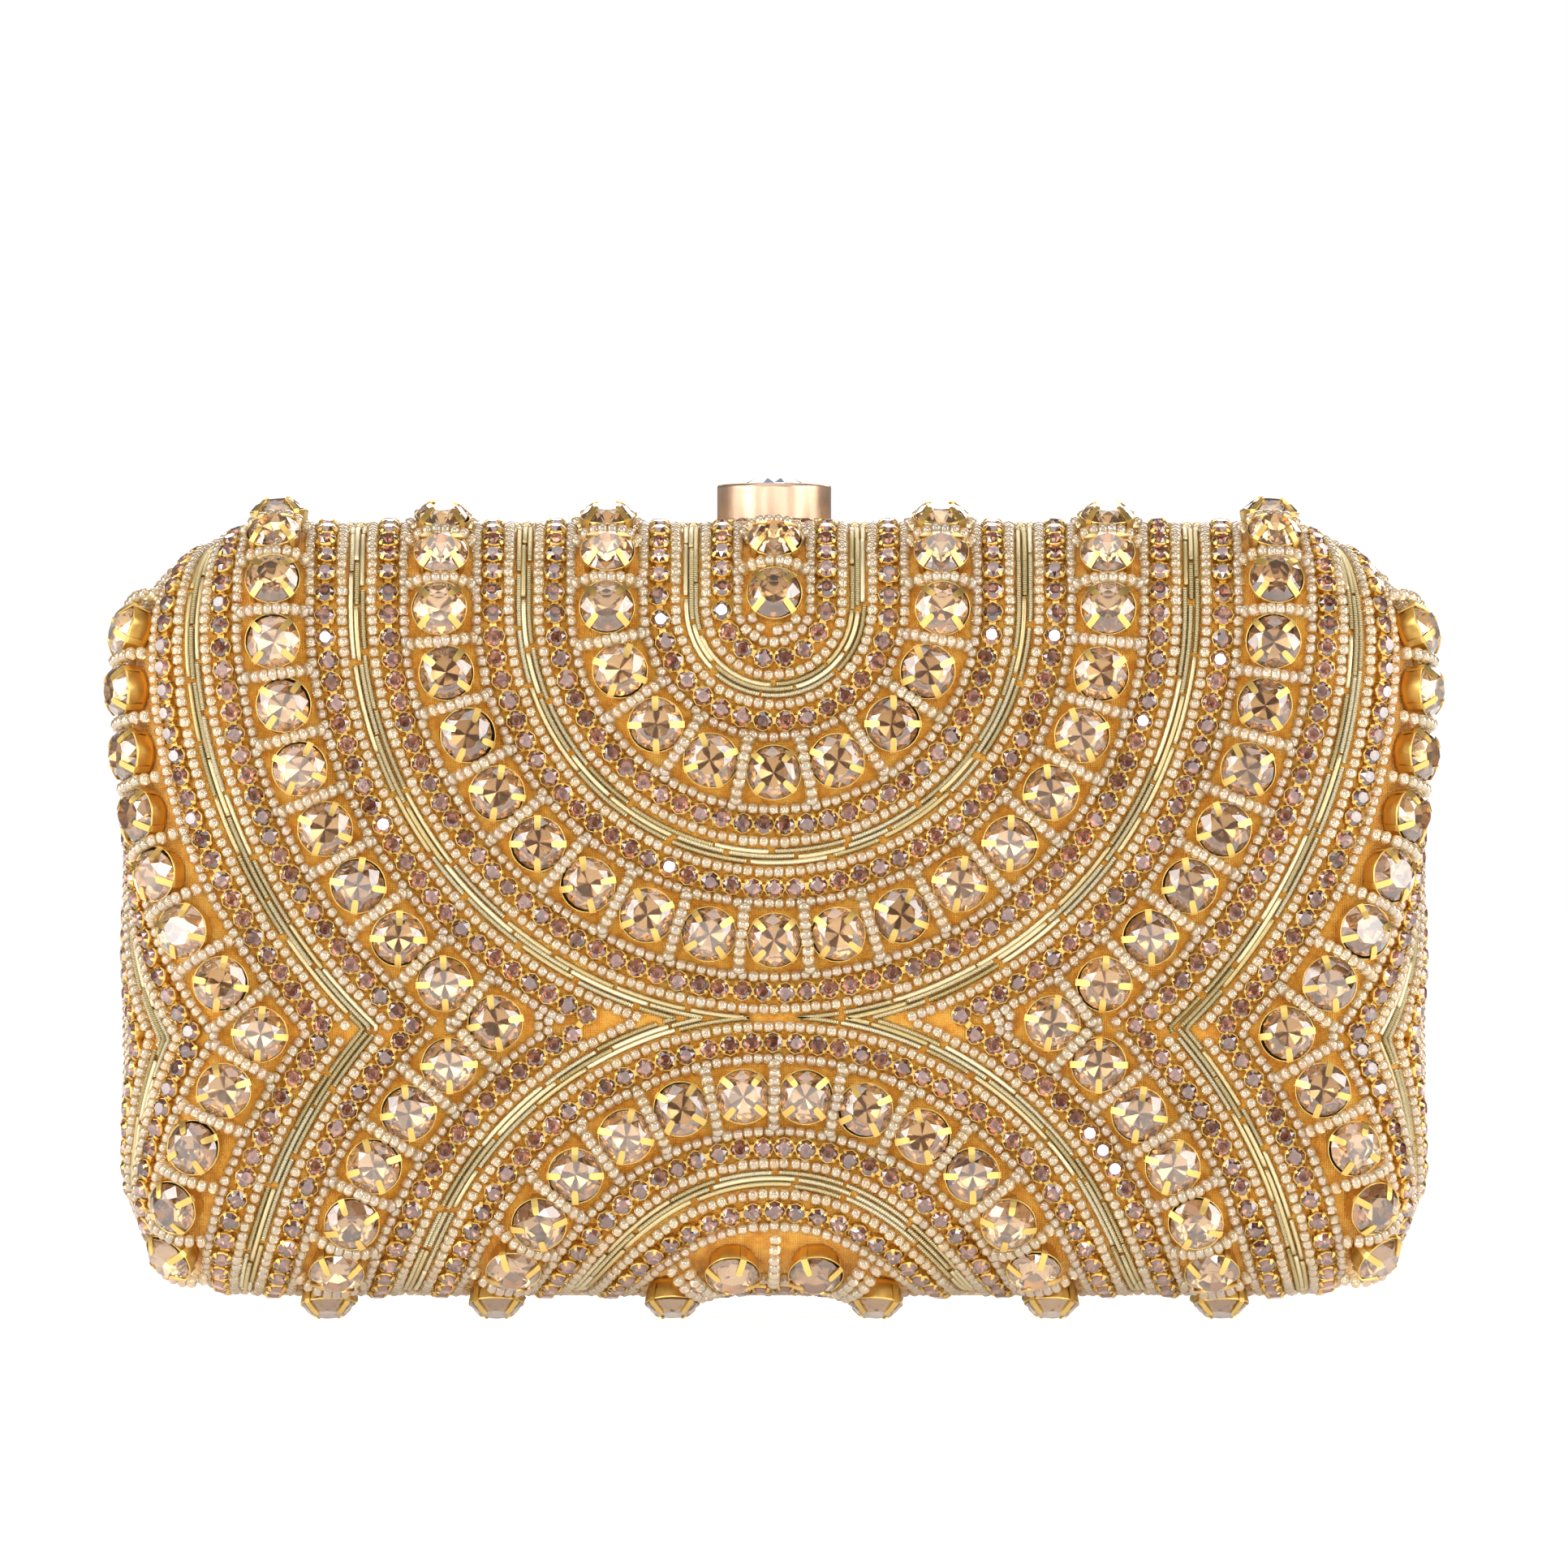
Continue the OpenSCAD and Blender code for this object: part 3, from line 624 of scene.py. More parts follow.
class Shader(Nodes):
    """A Principled material."""

    def __init__(self, name, color, rough=0.4, metal=0.0, **sockets):
        self.material = bpy.data.materials.new(name)
        self.material.use_nodes = True
        super().__init__(self.material.node_tree)
        self.bsdf = self.tree.nodes["Principled BSDF"]
        sockets |= {"Base_Color": (*color, 1), "Roughness": rough, "Metallic": metal}
        for key, value in sockets.items():
            self.bsdf.inputs[key.replace("_", " ")].default_value = value

    def link(self, out, socket):
        self.tree.links.new(out, self.bsdf.inputs[socket])

    def color(self, out):
        self.link(out, "Base Color")

    def rough(self, scale, detail, low, high, rough=0.5, vector=None):
        """Roughness that varies with a noise."""
        self.link(self.span(self.noise(scale, detail, rough, vector), low, high), "Roughness")

    def bump(self, height, strength, distance):
        """Surface relief, its height in millimetres; the last step of a material."""
        inputs = {"Height": height, "Strength": strength, "Distance": distance * MM}
        self.link(self.node("ShaderNodeBump", inputs).outputs["Normal"], "Normal")
        return self.material


def amber_cloth():
    """Satin ground under the beads: fine weave and uneven dye."""
    s = Shader("amber_cloth", (0.8, 0.42, 0.08), 0.55, Sheen_Weight=0.35, Sheen_Roughness=0.4)
    s.color(s.ramp(
        s.noise(420, 4),
        (0.3, (0.7, 0.26, 0.02)), (0.5, (0.92, 0.43, 0.05)), (0.72, (1.0, 0.6, 0.12)),
    ))
    s.rough(900, 2, 0.4, 0.7)
    weave = s.math("ADD", s.wave(900, 1.5, "X"), s.wave(900, 1.5, "Z"))
    return s.bump(s.math("ADD", weave, s.noise(1500, 3)), 0.7, 0.15)


def pearl_bead():
    """Lustred glass seed beads, cream to pinkish by their own tone, with painted amber edges that
    stand in for the cloth seen through the glass.
    """
    s = Shader(
        "pearl_bead", (0.95, 0.86, 0.66), 0.14, IOR=1.52,
        Coat_Weight=1.0, Coat_Roughness=0.02, Coat_IOR=2.2, Transmission_Weight=0.72,
    )
    core = s.ramp(
        s.attribute("tone"),
        (0.0, (0.87, 0.62, 0.27)), (0.35, (0.91, 0.76, 0.44)),
        (0.7, (0.93, 0.81, 0.55)), (1.0, (0.91, 0.72, 0.52)),
    )
    # Painted see-through: where the bead's surface turns away from the view, its colour is blended
    # to amber in place of the cloth seen through the glass.
    painted_edge_facing = s.node("ShaderNodeLayerWeight", {"Blend": 0.5}).outputs["Facing"]
    s.color(s.blend(s.span(painted_edge_facing, 0.0, 1.0, 0.3, 0.85), core, (0.85, 0.45, 0.08)))
    s.rough(700, 2, 0.02, 0.12)
    return s.bump(s.noise(1400, 2), 0.06, 0.04)


def bullion_wire():
    """Coiled embroidery wire. The mesh keeps the length and how deep the coil is."""
    s = Shader("bullion_wire", (0.84, 0.76, 0.52), 0.35, 0.75)
    s.color(s.ramp(
        s.attribute("tone"),
        (0.0, (0.53, 0.41, 0.18)), (0.5, (0.67, 0.55, 0.31)), (1.0, (0.78, 0.69, 0.46)),
    ))
    s.rough(500, 2, 0.25, 0.45)
    turns = s.math("MULTIPLY", s.attribute("along"), 2 * math.pi / 0.37)
    coil = s.math("MULTIPLY", s.math("SINE", turns), s.attribute("coil"))
    return s.bump(coil, 0.9, 0.12)


def bright_gold(name, color, low, high, scale=500, bump=0.12):
    """Plated metal: small dents, fine scratches and uneven polish."""
    s = Shader(name, color, (low + high) / 2, 1.0)
    darker = tuple(c * 0.78 for c in color)
    s.color(s.ramp(s.noise(scale / 4, 4), (0.3, darker), (0.6, color)))
    s.rough(scale, 5, low, high, 0.7)
    return s.bump(s.noise(scale * 1.7, 3), bump, 0.05)


def stone_glass(name, color, clear=1.0):
    """Clear crown of a stone; its sparkle is the foil's facets seen through it."""
    s = Shader(
        name, color, 0.0, IOR=1.58, Transmission_Weight=clear,
        Coat_Weight=1.0, Coat_Roughness=0.02, Coat_IOR=1.9,
    )
    s.rough(900, 2, 0.0, 0.02)
    return s.bump(s.noise(60, 2), 0.02, 0.02)


def stone_foil(name, dark, light):
    """Foiled back of a stone, each stone with its own tone."""
    s = Shader(name, light, 0.16, 0.8)
    s.color(s.ramp(s.attribute("tone"), (0.0, dark), (1.0, light)))
    s.rough(300, 3, 0.04, 0.16)
    return s.bump(s.noise(90, 2), 0.04, 0.03)


def lining_satin(name, low, high):
    """Twill weave with a soft sheen and slightly uneven dye."""
    s = Shader(name, high, 0.38, Sheen_Weight=0.5, Sheen_Roughness=0.35)
    s.color(s.ramp(s.noise(150, 5), (0.3, low), (0.7, high)))
    s.rough(240, 3, 0.3, 0.5)
    twill = s.wave(700, 0.6, "DIAGONAL")
    return s.bump(s.math("ADD", twill, s.noise(900, 3)), 0.35, 0.08)


def brushed_steel():
    s = Shader("spring_steel", (0.6, 0.59, 0.56), 0.32, 1.0)
    inputs = {"Vector": s.place(), "Scale": (1.0, 14.0, 14.0)}
    stretched = s.node("ShaderNodeMapping", inputs).outputs[0]
    s.rough(160, 6, 0.2, 0.5, 0.7, stretched)
    s.color(s.ramp(s.noise(90, 3), (0.3, (0.46, 0.45, 0.43)), (0.7, (0.66, 0.65, 0.62))))
    return s.bump(s.noise(400, 4, 0.6, stretched), 0.2, 0.04)


def shell_board():
    s = Shader("shell_board", (0.3, 0.24, 0.18), 0.7)
    s.color(s.ramp(s.noise(220, 5), (0.3, (0.2, 0.15, 0.11)), (0.7, (0.36, 0.29, 0.22))))
    return s.bump(s.noise(700, 4), 0.4, 0.1)


CLOTH = amber_cloth()
BEAD = pearl_bead()
WIRE = bullion_wire()
CUP = bright_gold("cup_gold", (0.84, 0.57, 0.17), 0.24, 0.42)
FRAME_GOLD = bright_gold("frame_gold", (0.9, 0.68, 0.34), 0.12, 0.3, 260, 0.08)
KNOB_GOLD = bright_gold("knob_rose_gold", (0.76, 0.52, 0.36), 0.26, 0.42, 700, 0.35)
CROWN = stone_glass("champagne_crown", (1.0, 0.93, 0.82))
FOIL = stone_foil("champagne_foil", (0.42, 0.24, 0.1), (0.7, 0.48, 0.27))
ROSE_CROWN = stone_glass("rose_crown", (0.98, 0.82, 0.74))
ROSE_FOIL = stone_foil("rose_foil", (0.26, 0.11, 0.06), (0.5, 0.27, 0.19))
CRYSTAL = stone_glass("clear_crystal", (0.3, 0.36, 0.47), 0.35)
CRYSTAL_FOIL = stone_foil("crystal_foil", (0.45, 0.52, 0.62), (0.75, 0.82, 0.9))
SATIN = lining_satin("lining_satin", (0.7, 0.54, 0.31), (0.78, 0.62, 0.38))
PIPING = lining_satin("piping_satin", (0.5, 0.33, 0.13), (0.62, 0.43, 0.2))
STEEL = brushed_steel()
BOARD = shell_board()


# ------ templates
def bead_template(radius, half_length):
    """A seed bead, its hole along X."""
    profile = []
    hole = 0.32
    for turn in (14, 48, 90, 132, 166):
        a = math.radians(turn)
        profile.append((hole + (radius - hole) * math.sin(a) ** 0.75, -half_length * math.cos(a)))
    points, faces = revolved(profile, 8)
    return Template().add([(z, x, y) for x, y, z in points], faces)


def large_stone_template():
    """A round brilliant: table, crown, girdle and foiled pavilion."""
    r_table, r_mid, r_girdle = 2.3, 3.2, 4.06
    z_table, z_girdle, z_low, z_point = 5.15, 3.55, 3.35, 0.9
    share = (r_mid * math.cos(math.pi / 8) - r_table) / (r_girdle - r_table)
    z_mid = z_table + (z_girdle - z_table) * share
    points = ring_points(r_table, z_table, 8) + ring_points(r_mid, z_mid, 8, 0.5)
    points += ring_points(r_girdle, z_girdle, 16) + ring_points(r_girdle, z_low, 16)
    points.append((0, 0, z_point))
    mid, girdle, low, culet = 8, 16, 32, 48
    crown = [tuple(range(8))]
    for i in range(8):
        here, g, g_next = mid + i, girdle + 2 * i, girdle + (2 * i + 2) % 16
        crown += [(i, here, (i + 1) % 8), (i, mid + (i - 1) % 8, g, here)]
        crown += [(here, g, g + 1), (here, g + 1, g_next)]
    crown += between_rings(low, girdle, 16)
    inner = len(points)
    points += ring_points(r_girdle * 0.5, z_point + (z_low - z_point) * 0.42, 8, 0.5)
    pavilion = []
    for k in range(8):
        first, middle, last = low + 2 * k, low + 2 * k + 1, low + (2 * k + 2) % 16
        here, after = inner + k, inner + (k + 1) % 8
        pavilion += [(middle, first, here), (last, middle, here)]
        pavilion += [(last, here, after), (after, here, culet)]
    return Template().add_stone(points, crown, pavilion)


def small_stone():
    """Points, crown faces and pavilion faces of a chain stone."""
    r_table, r_girdle = 0.86, 1.52
    z_table, z_girdle, z_low, z_point = 2.08, 1.56, 1.46, 0.5
    points = ring_points(r_table, z_table, 8, 0.5) + ring_points(r_girdle, z_girdle, 8)
    points += ring_points(r_girdle, z_low, 8) + [(0, 0, z_point)]
    girdle, low, culet = 8, 16, 24
    crown = [tuple(range(8))]
    for i in range(8):
        after = (i + 1) % 8
        crown += [(i, girdle + after, after), (i, girdle + i, girdle + after)]
    crown += between_rings(low, girdle, 8)
    pavilion = [(low + (k + 1) % 8, low + k, culet) for k in range(8)]
    return points, crown, pavilion


def setting_template():
    """A deep crimped cup with four flat prongs bent over the stone."""
    profile = [
        (2.7, 0.0), (3.4, 0.08), (3.7, 0.9), (3.95, 2.1), (4.18, 3.2),
        (4.24, 3.46), (4.12, 3.52), (4.0, 3.1), (3.3, 1.5), (2.2, 0.5),
    ]
    sides = 32
    points, faces = revolved(profile, sides)
    crimped = []
    for k, (x, y, z) in enumerate(points):
        level = k // sides
        wave = 1 + 0.018 * math.cos(8 * math.atan2(y, x)) if 1 < level < 5 else 1
        crimped.append((x * wave, y * wave, z))
    bend = [
        (3.98, 0.9, 0, 0.9), (4.28, 3.1, 0, 1.0), (4.26, 3.68, 0.45, 1.0), (3.9, 4.02, 0.9, 1.0),
        (3.2, 4.6, 1.0, 1.0), (2.5, 5.06, 1.1, 0.95), (2.15, 5.26, 1.2, 0.6),
    ]
    return Template().add(crimped, faces).add_prongs(bend, 1.0, 0.22)


def chain_template():
    """One cup of cup chain, with four small prongs and its stone."""
    profile = [(1.2, 0.0), (1.5, 0.1), (1.66, 1.45), (1.54, 1.5), (1.2, 0.35)]
    bend = [(1.6, 0.4, 0, 1.0), (1.7, 1.45, 0, 1.0), (1.45, 1.78, 0.8, 0.9), (1.12, 2.0, 0.9, 0.5)]
    cup = Template().add(*revolved(profile, 8)).add_prongs(bend, 0.55, 0.15)
    return cup.add_stone(*small_stone(), 1)


def link_template():
    """The flat bar between two cups of the chain."""
    corners = [(x, y, z) for x in (-0.55, 0.55) for y in (-0.5, 0.5) for z in (0.35, 0.95)]
    faces = [(0, 1, 3, 2), (4, 6, 7, 5), (0, 4, 5, 1), (2, 3, 7, 6), (0, 2, 6, 4), (1, 5, 7, 3)]
    return Template().add(corners, faces, 0, False)


# ------ pieces of one half
def wobble(rng, axes, degrees):
    """Axes turned by a small random amount about each of their own directions."""
    turn = np.radians(degrees) * rng.standard_normal((len(axes), 3))
    spin = np.zeros((len(axes), 3, 3))
    spin[:, 0, 1] = -turn[:, 2]
    spin[:, 0, 2] = turn[:, 1]
    spin[:, 1, 2] = -turn[:, 0]
    spin -= spin.transpose(0, 2, 1)
    turned = np.einsum("nij,njk->nik", axes, np.eye(3) + spin)
    x = unit(turned[:, :, 0])
    z = unit(np.cross(x, turned[:, :, 1]))
    return np.stack([x, np.cross(z, x), z], axis=2)


def apart(pos, least):
    """Which places to keep so that no two are closer than least; the earlier one stays."""
    near = np.linalg.norm(pos[:, None] - pos[None], axis=2) < least
    keep = np.ones(len(pos), bool)
    for later, earlier in zip(*np.nonzero(np.tril(near, -1))):
        if keep[earlier]:
            keep[later] = False
    return keep


def field_of(found, pitch):
    """Places at equal steps on strands, less those that crowd a sharp corner."""
    kept = []
    for strand in found:
        places = along(strand, pitch)
        keep = apart(places[0], 0.8 * pitch)
        kept.append([kind[keep] for kind in places])
    pos, tangent, normal = joined(kept)
    return pos, frames(tangent, normal)


def beads(name, pos, axes, tone, scale=1.0, radius=SEED_R, half_length=SEED_HALF):
    return instances(name, bead_template(radius, half_length), pos, axes, [BEAD], scale, tone)


def bead_tones(rng, middle, spread, count):
    return np.clip(rng.normal(middle, spread, count), 0, 1)


def seed_rows(name, offsets, side, rng, middle_tone, rows=range(ROW_COUNT)):
    """Rows of seed beads along every line of one kind."""
    pos, axes = field_of(strands_of(offsets, SEED_LIFT, side, 1.0, rows), SEED_PITCH)
    if offsets == STONE_ROW_BEADS:
        pos, axes = joined([(pos, axes), corner_bead_places(side)])
    pos = pos + 0.06 * rng.standard_normal(pos.shape)
    tone = bead_tones(rng, middle_tone, 0.16, len(pos))
    scale = rng.normal(1.0, 0.035, len(pos)).clip(0.88, 1.08)
    return beads(name, pos, wobble(rng, axes, 5), tone, scale)


def rim_row(name, side, rng):
    """One row of seed beads along the rim of the half."""
    c, e = outline_stations(0.5)
    pos, n = on_cover(c + e * (REACH - 1.1), SEED_LIFT, side)
    good = ~near_knob(pos, 1.2)
    pos, n = pos[good], n[good]
    # The row starts where the knob breaks it
    start = int(np.argmax(np.linalg.norm(np.diff(pos, axis=0), axis=1))) + 1
    pos, n = np.roll(pos, -start, axis=0), np.roll(n, -start, axis=0)
    places, tangent, normal = along((pos, n, lengths(pos)), SEED_PITCH)
    tone = bead_tones(rng, 0.5, 0.15, len(places))
    return beads(name, places, wobble(rng, frames(tangent, normal), 4), tone)


def bead_bars(name, bars, rng, count=8, half_w=4.6, rise=2.1, radius=1.08, lift=0.4):
    """Bars of seed beads lying across a row of large stones, arched over the gap between two."""
    pos, axes = bars
    t = np.linspace(-1, 1, count)
    power = 2.4
    y, z = half_w * t, radius + lift + rise * (1 - np.abs(t) ** power)
    slope = -rise * power * np.sign(t) * np.abs(t) ** (power - 1)
    along_y, along_z = half_w / np.hypot(half_w, slope), slope / np.hypot(half_w, slope)
    across, up = axes[:, None, :, 1], axes[:, None, :, 2]
    y, z, along_y, along_z = (k[:, None] for k in (y, z, along_y, along_z))
    places = (pos[:, None] + across * y + up * z).reshape(-1, 3)
    x_axis = across * along_y + up * along_z
    z_axis = up * along_y - across * along_z
    turned = np.stack([x_axis, np.cross(z_axis, x_axis), z_axis], axis=3).reshape(-1, 3, 3)
    keep = apart(places, BAR_BEAD_ROOM)
    places, turned = places[keep], turned[keep]
    places = places + 0.05 * rng.standard_normal(places.shape)
    tone = bead_tones(rng, 0.6, 0.2, len(places))
    return beads(name, places, wobble(rng, turned, 5), tone, 1.0, radius, 0.74)


def top_reach(depth):
    """How far from the core a point of the top lies, by its distance from the rims' plane."""
    on_bend = EDGE_R * np.arccos(np.clip((depth - WALL) / EDGE_R, 0, 1))
    return on_bend + np.maximum(WALL - depth, 0)


def knob_ring(side):
    """Places for the cup chain that joins the two arms of the middle row round the knob."""
    turn = np.radians(np.linspace(-45, 45, 6))
    x = KNOB_RING * np.sin(turn)
    depth = side * KNOB_Y + KNOB_RING * np.cos(turn)
    flat = np.stack([x, CORE_TOP + top_reach(depth)], axis=1)
    return placed(flat, upright(len(turn))[:, ::-1], 0.0, side)


def rose_chain(name, side, rng):
    """Cup chain of small stones, in every row and round the knob."""
    rows = field_of(strands_of(CHAIN_ROWS, 0.0, side, 1.9), CHAIN_PITCH)
    pos, axes = joined([rows, knob_ring(side)])
    tone = rng.uniform(0, 1, len(pos))
    scale = rng.normal(1.0, 0.02, len(pos)).clip(0.95, 1.04)
    tilted, looks = wobble(rng, axes, 3), [CUP, ROSE_CROWN, ROSE_FOIL]
    chain = instances(name, chain_template(), pos, tilted, looks, scale, tone)
    after = np.roll(pos, -1, axis=0)
    near = np.linalg.norm(after - pos, axis=1) < LINK_SPAN
    link_axes = frames(unit(after - pos), axes[:, :, 2])[near]
    middles = ((pos + after) / 2)[near]
    links = instances(name + "_links", link_template(), middles, link_axes, [CUP])
    return chain, links


def cut_wires(strand, rng):
    """Cuts a strand into lengths of wire: each one's stations and the points round it."""
    pos, n, ls = strand
    ring = np.arange(WIRE_SIDES)[:, None] * 2 * math.pi / WIRE_SIDES
    s = -rng.uniform(0, 6)
    while s < ls[-1]:
        end = s + rng.uniform(7, 15)
        stations = np.arange(max(s + WIRE_GAP, 0), min(end - WIRE_GAP, ls[-1]), 0.9)
        s = end
        if len(stations) < 3:
            continue
        p, up = at_lengths(pos, ls, stations), unit(at_lengths(n, ls, stations))
        axes = frames(unit(np.gradient(p, axis=0)), up)
        out, high = axes[:, :, 1], axes[:, :, 2]
        p = p + out * rng.normal(0, 0.07) + high * abs(rng.normal(0, 0.05))
        circle = out[:, None] * np.cos(ring) + high[:, None] * np.sin(ring)
        yield stations, (p[:, None] + WIRE_R * circle).reshape(-1, 3)


def bullion(name, side, rng):
    """Cut lengths of coiled wire couched side by side along the middle of each band."""
    co, faces, tones, coils, lies = [], [], [], [], []
    count = 0
    for strand in strands_of(BULLION_ROWS, WIRE_R, side, 0.7):
        for stations, points in cut_wires(strand, rng):
            size = len(points)
            co.append(points)
            faces += tube_faces(count, len(stations), WIRE_SIDES)
            count += size
            tones.append(np.full(size, rng.uniform(0, 1)))
            coils.append(np.full(size, 1.0 if rng.random() < 0.6 else 0.12))
            lies.append(np.repeat(stations, WIRE_SIDES))
    piece = smooth_piece(name, np.concatenate(co), faces, [WIRE])
    for key, values in (("tone", tones), ("coil", coils), ("along", lies)):
        keep_values(piece.data, key, np.concatenate(values))
    return piece


def outline_stations(spacing):
    """Points on the core's outline and their outward directions, once round."""
    points, outward, centres = [], [], []
    top, bottom = (CORE_TOP, TOP_CORNER_R), (CORE_BOTTOM, BOTTOM_CORNER_R)
    for hand, (z, corner_r) in ((1, top), (-1, top), (-1, bottom), (1, bottom)):
        r = corner_r - EDGE_R
        centre = np.array([hand * (CORE_X - r), z - math.copysign(r, z - CASE_MID)])
        centres.append((centre, r, corner_r))
    for k, (centre, r, corner_r) in enumerate(centres):
        steps = max(int(corner_r * math.pi / 2 / spacing), 4)
        turn = polar(0.0, 1.0, 90 * k + 90 * np.arange(steps) / steps)
        points.append(centre + r * turn)
        outward.append(turn)
        end = polar(0.0, 1.0, 90 * k + 90).round(9)
        after, r_after, _ = centres[(k + 1) % 4]
        first, last = centre + r * end, after + r_after * end
        steps = max(int(np.linalg.norm(last - first) / spacing), 2)
        points.append(first + (last - first) * (np.arange(steps) / steps)[:, None])
        outward.append(np.tile(end, (steps, 1)))
    return np.concatenate(points), np.concatenate(outward)


def skin(name, side, h, outer, materials, limit=None, ripple=None):
    """A sheet over the whole half at height h, from the middle of the face outwards. limit can
    shorten its reach, and ripple can change its height."""
    c, e = outline_stations(2.0)
    steps = 22
    middle = np.array([0, CASE_MID])
    far = np.full(len(c), outer) if limit is None else np.minimum(outer, limit(c, e))
    rows = [middle + (c - middle) * f for f in np.linspace(0.02, 1, steps)[:-1]]
    rows += [c + e * (far * f)[:, None] for f in np.linspace(0, 1, steps)]
    co = []
    for k, row in enumerate(rows):
        height = h if ripple is None else h + ripple(row, k / len(rows))
        co.append(on_cover(row, height, side)[0])
    co = np.stack(co)
    if side < 0:
        co = co[:, ::-1]
    return grid_piece(name, co, materials, round_first=True)


def thicken(piece, thickness):
    """Gives a sheet its thickness, inwards from the face it was made on."""
    solid = piece.modifiers.new("thickness", "SOLIDIFY")
    solid.thickness = thickness * MM
    solid.offset = -1
    return piece


def notch_limit(side_x, back_y, disc_r):
    """How far each top station may reach: to a notch of half width side_x and depth back_y, and
    to a disc round the knob's axis."""
    def limit(c, e):
        x = np.abs(c[:, 0])
        top = (e[:, 1] > 0.99) & (c[:, 1] > CASE_MID)
        disc = KNOB_Y + np.sqrt(np.maximum(disc_r ** 2 - x ** 2, 0))
        y = np.where(x < side_x, back_y, 0.0)
        y = np.maximum(y, np.where(x < disc_r, disc, 0))
        return np.where(top & (y > 0), top_reach(y), np.inf)
    return limit


def lining_slack(row, share):
    """Slight slack of a lining: long waves that fade towards the rim."""
    x, w = row[:, 0], row[:, 1]
    wave = np.sin(x * 0.11 + 1.3) * np.sin(w * 0.13 - 0.4)
    wave = wave + 0.5 * np.sin(x * 0.31 + w * 0.22)
    return -0.25 * (1 + wave / 1.5) * (1 - share ** 3)


def settings(name, template, places, materials, rng):
    """Cups or stones at their places, each tilted a little."""
    pos, axes = places
    tone = rng.uniform(0, 1, len(pos))
    return instances(name, template, pos, wobble(rng, axes, 1.5), materials, 1.0, tone)


def half(label, side, seed):
    """Everything sewn, set or laid on one half of the bag. The rear half leaves room for the
    lock and the knob."""
    rng = np.random.default_rng(seed)
    stones, feet, bars = stone_places(side)
    stone, setting = large_stone_template(), setting_template()
    cloth_notch = lining_notch = None
    if label == "rear":
        cloth_notch = notch_limit(side_x=8.3, back_y=8.8, disc_r=9.2)
        lining_notch = notch_limit(side_x=15.0, back_y=10.4, disc_r=0.0)
    cloth = skin(f"{label}_cloth", side, 0.0, REACH - 0.2, [CLOTH], cloth_notch)
    lining = skin(
        f"{label}_lining_cloth", side, -3.1, ARC + WALL - 7.1, [SATIN], lining_notch, lining_slack,
    )
    pieces = [
        (thicken(cloth, 0.9), "amber_fabric", "cover"),
        (thicken(lining, 0.4), "lining_fabric", "lining"),
    ]
    for name, template, places, looks, slot, node in (
        ("stone_settings", setting, stones, [CUP], "cup_gold", "stone_cups"),
        ("set_stones", stone, stones, [CROWN, FOIL], "champagne_stone", "stones"),
        ("foot_settings", setting, feet, [CUP], "cup_gold", "foot_cups"),
        ("foot_set_stones", stone, feet, [CROWN, FOIL], "champagne_stone", "foot_stones"),
    ):
        pieces.append((settings(f"{label}_{name}", template, places, looks, rng), slot, node))
    sewn = [
        bead_bars(f"{label}_bead_bars", bars, rng),
        bead_bars(f"{label}_rim_bars", rim_bar_places(side), rng, 6, 3.9, 0.15, SEED_R, 0),
        seed_rows(f"{label}_stone_row_beads", STONE_ROW_BEADS, side, rng, 0.72),
        seed_rows(f"{label}_chain_row_beads", CHAIN_ROW_BEADS, side, rng, 0.45),
        seed_rows(f"{label}_side_beads", SIDE_BEADS, side, rng, 0.5, (SIDE_ROW,)),
        rim_row(f"{label}_rim_beads", side, rng),
    ]
    pieces += [(piece, "seed_bead", None) for piece in sewn]
    pieces.append((bullion(f"{label}_bullion", side, rng), "bullion_wire", None))
    chain, links = rose_chain(f"{label}_rose_chain", side, rng)
    pieces += [(chain, "rose_stone", None), (links, "cup_gold", None)]
    for piece, slot, node in pieces:
        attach(piece, f"{label}_half")
        if node:
            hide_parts(f"{label}_{node}")


half("front", -1, 11)
half("rear", 1, 23)


# ------ slip pocket of the rear half
def pocket():
    """A slack pouch whose mouth stands a little away from the lining, with a rolled hem."""
    low, high = (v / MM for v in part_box("slip_pocket"))
    across, up = np.meshgrid(np.linspace(-1, 1, 61), np.linspace(0, 1, 36))
    half_w, height = high.x - 0.3, high.z - low.z - 0.6
    x = half_w * across
    z = low.z + 0.3 + height * up - 0.8 * up * (1 - across ** 2)
    slack = (1 - across ** 4) * up ** 1.5
    y = high.y - 0.15 - 0.5 * slack - 0.12 * np.sin(9 * across + 2) * slack
    pouch = grid_piece("slip_pocket_pouch", np.stack([x, y, z], axis=2), [SATIN])
    thicken(pouch, 0.3)
    mouth = np.stack([x[-1], y[-1], z[-1]], axis=1)
    around = [(0.35 * math.cos(a) - 0.1, 0.8 * math.sin(a)) for a in np.arange(8) * math.pi / 4]
    around.append((0.25, 0.0))
    hem = grid_piece("slip_pocket_hem", np.stack([mouth + (0, y, z) for y, z in around]), [PIPING])
    for piece in (pouch, hem):
        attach(piece, "rear_half")
    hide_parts("slip_pocket")


pocket()


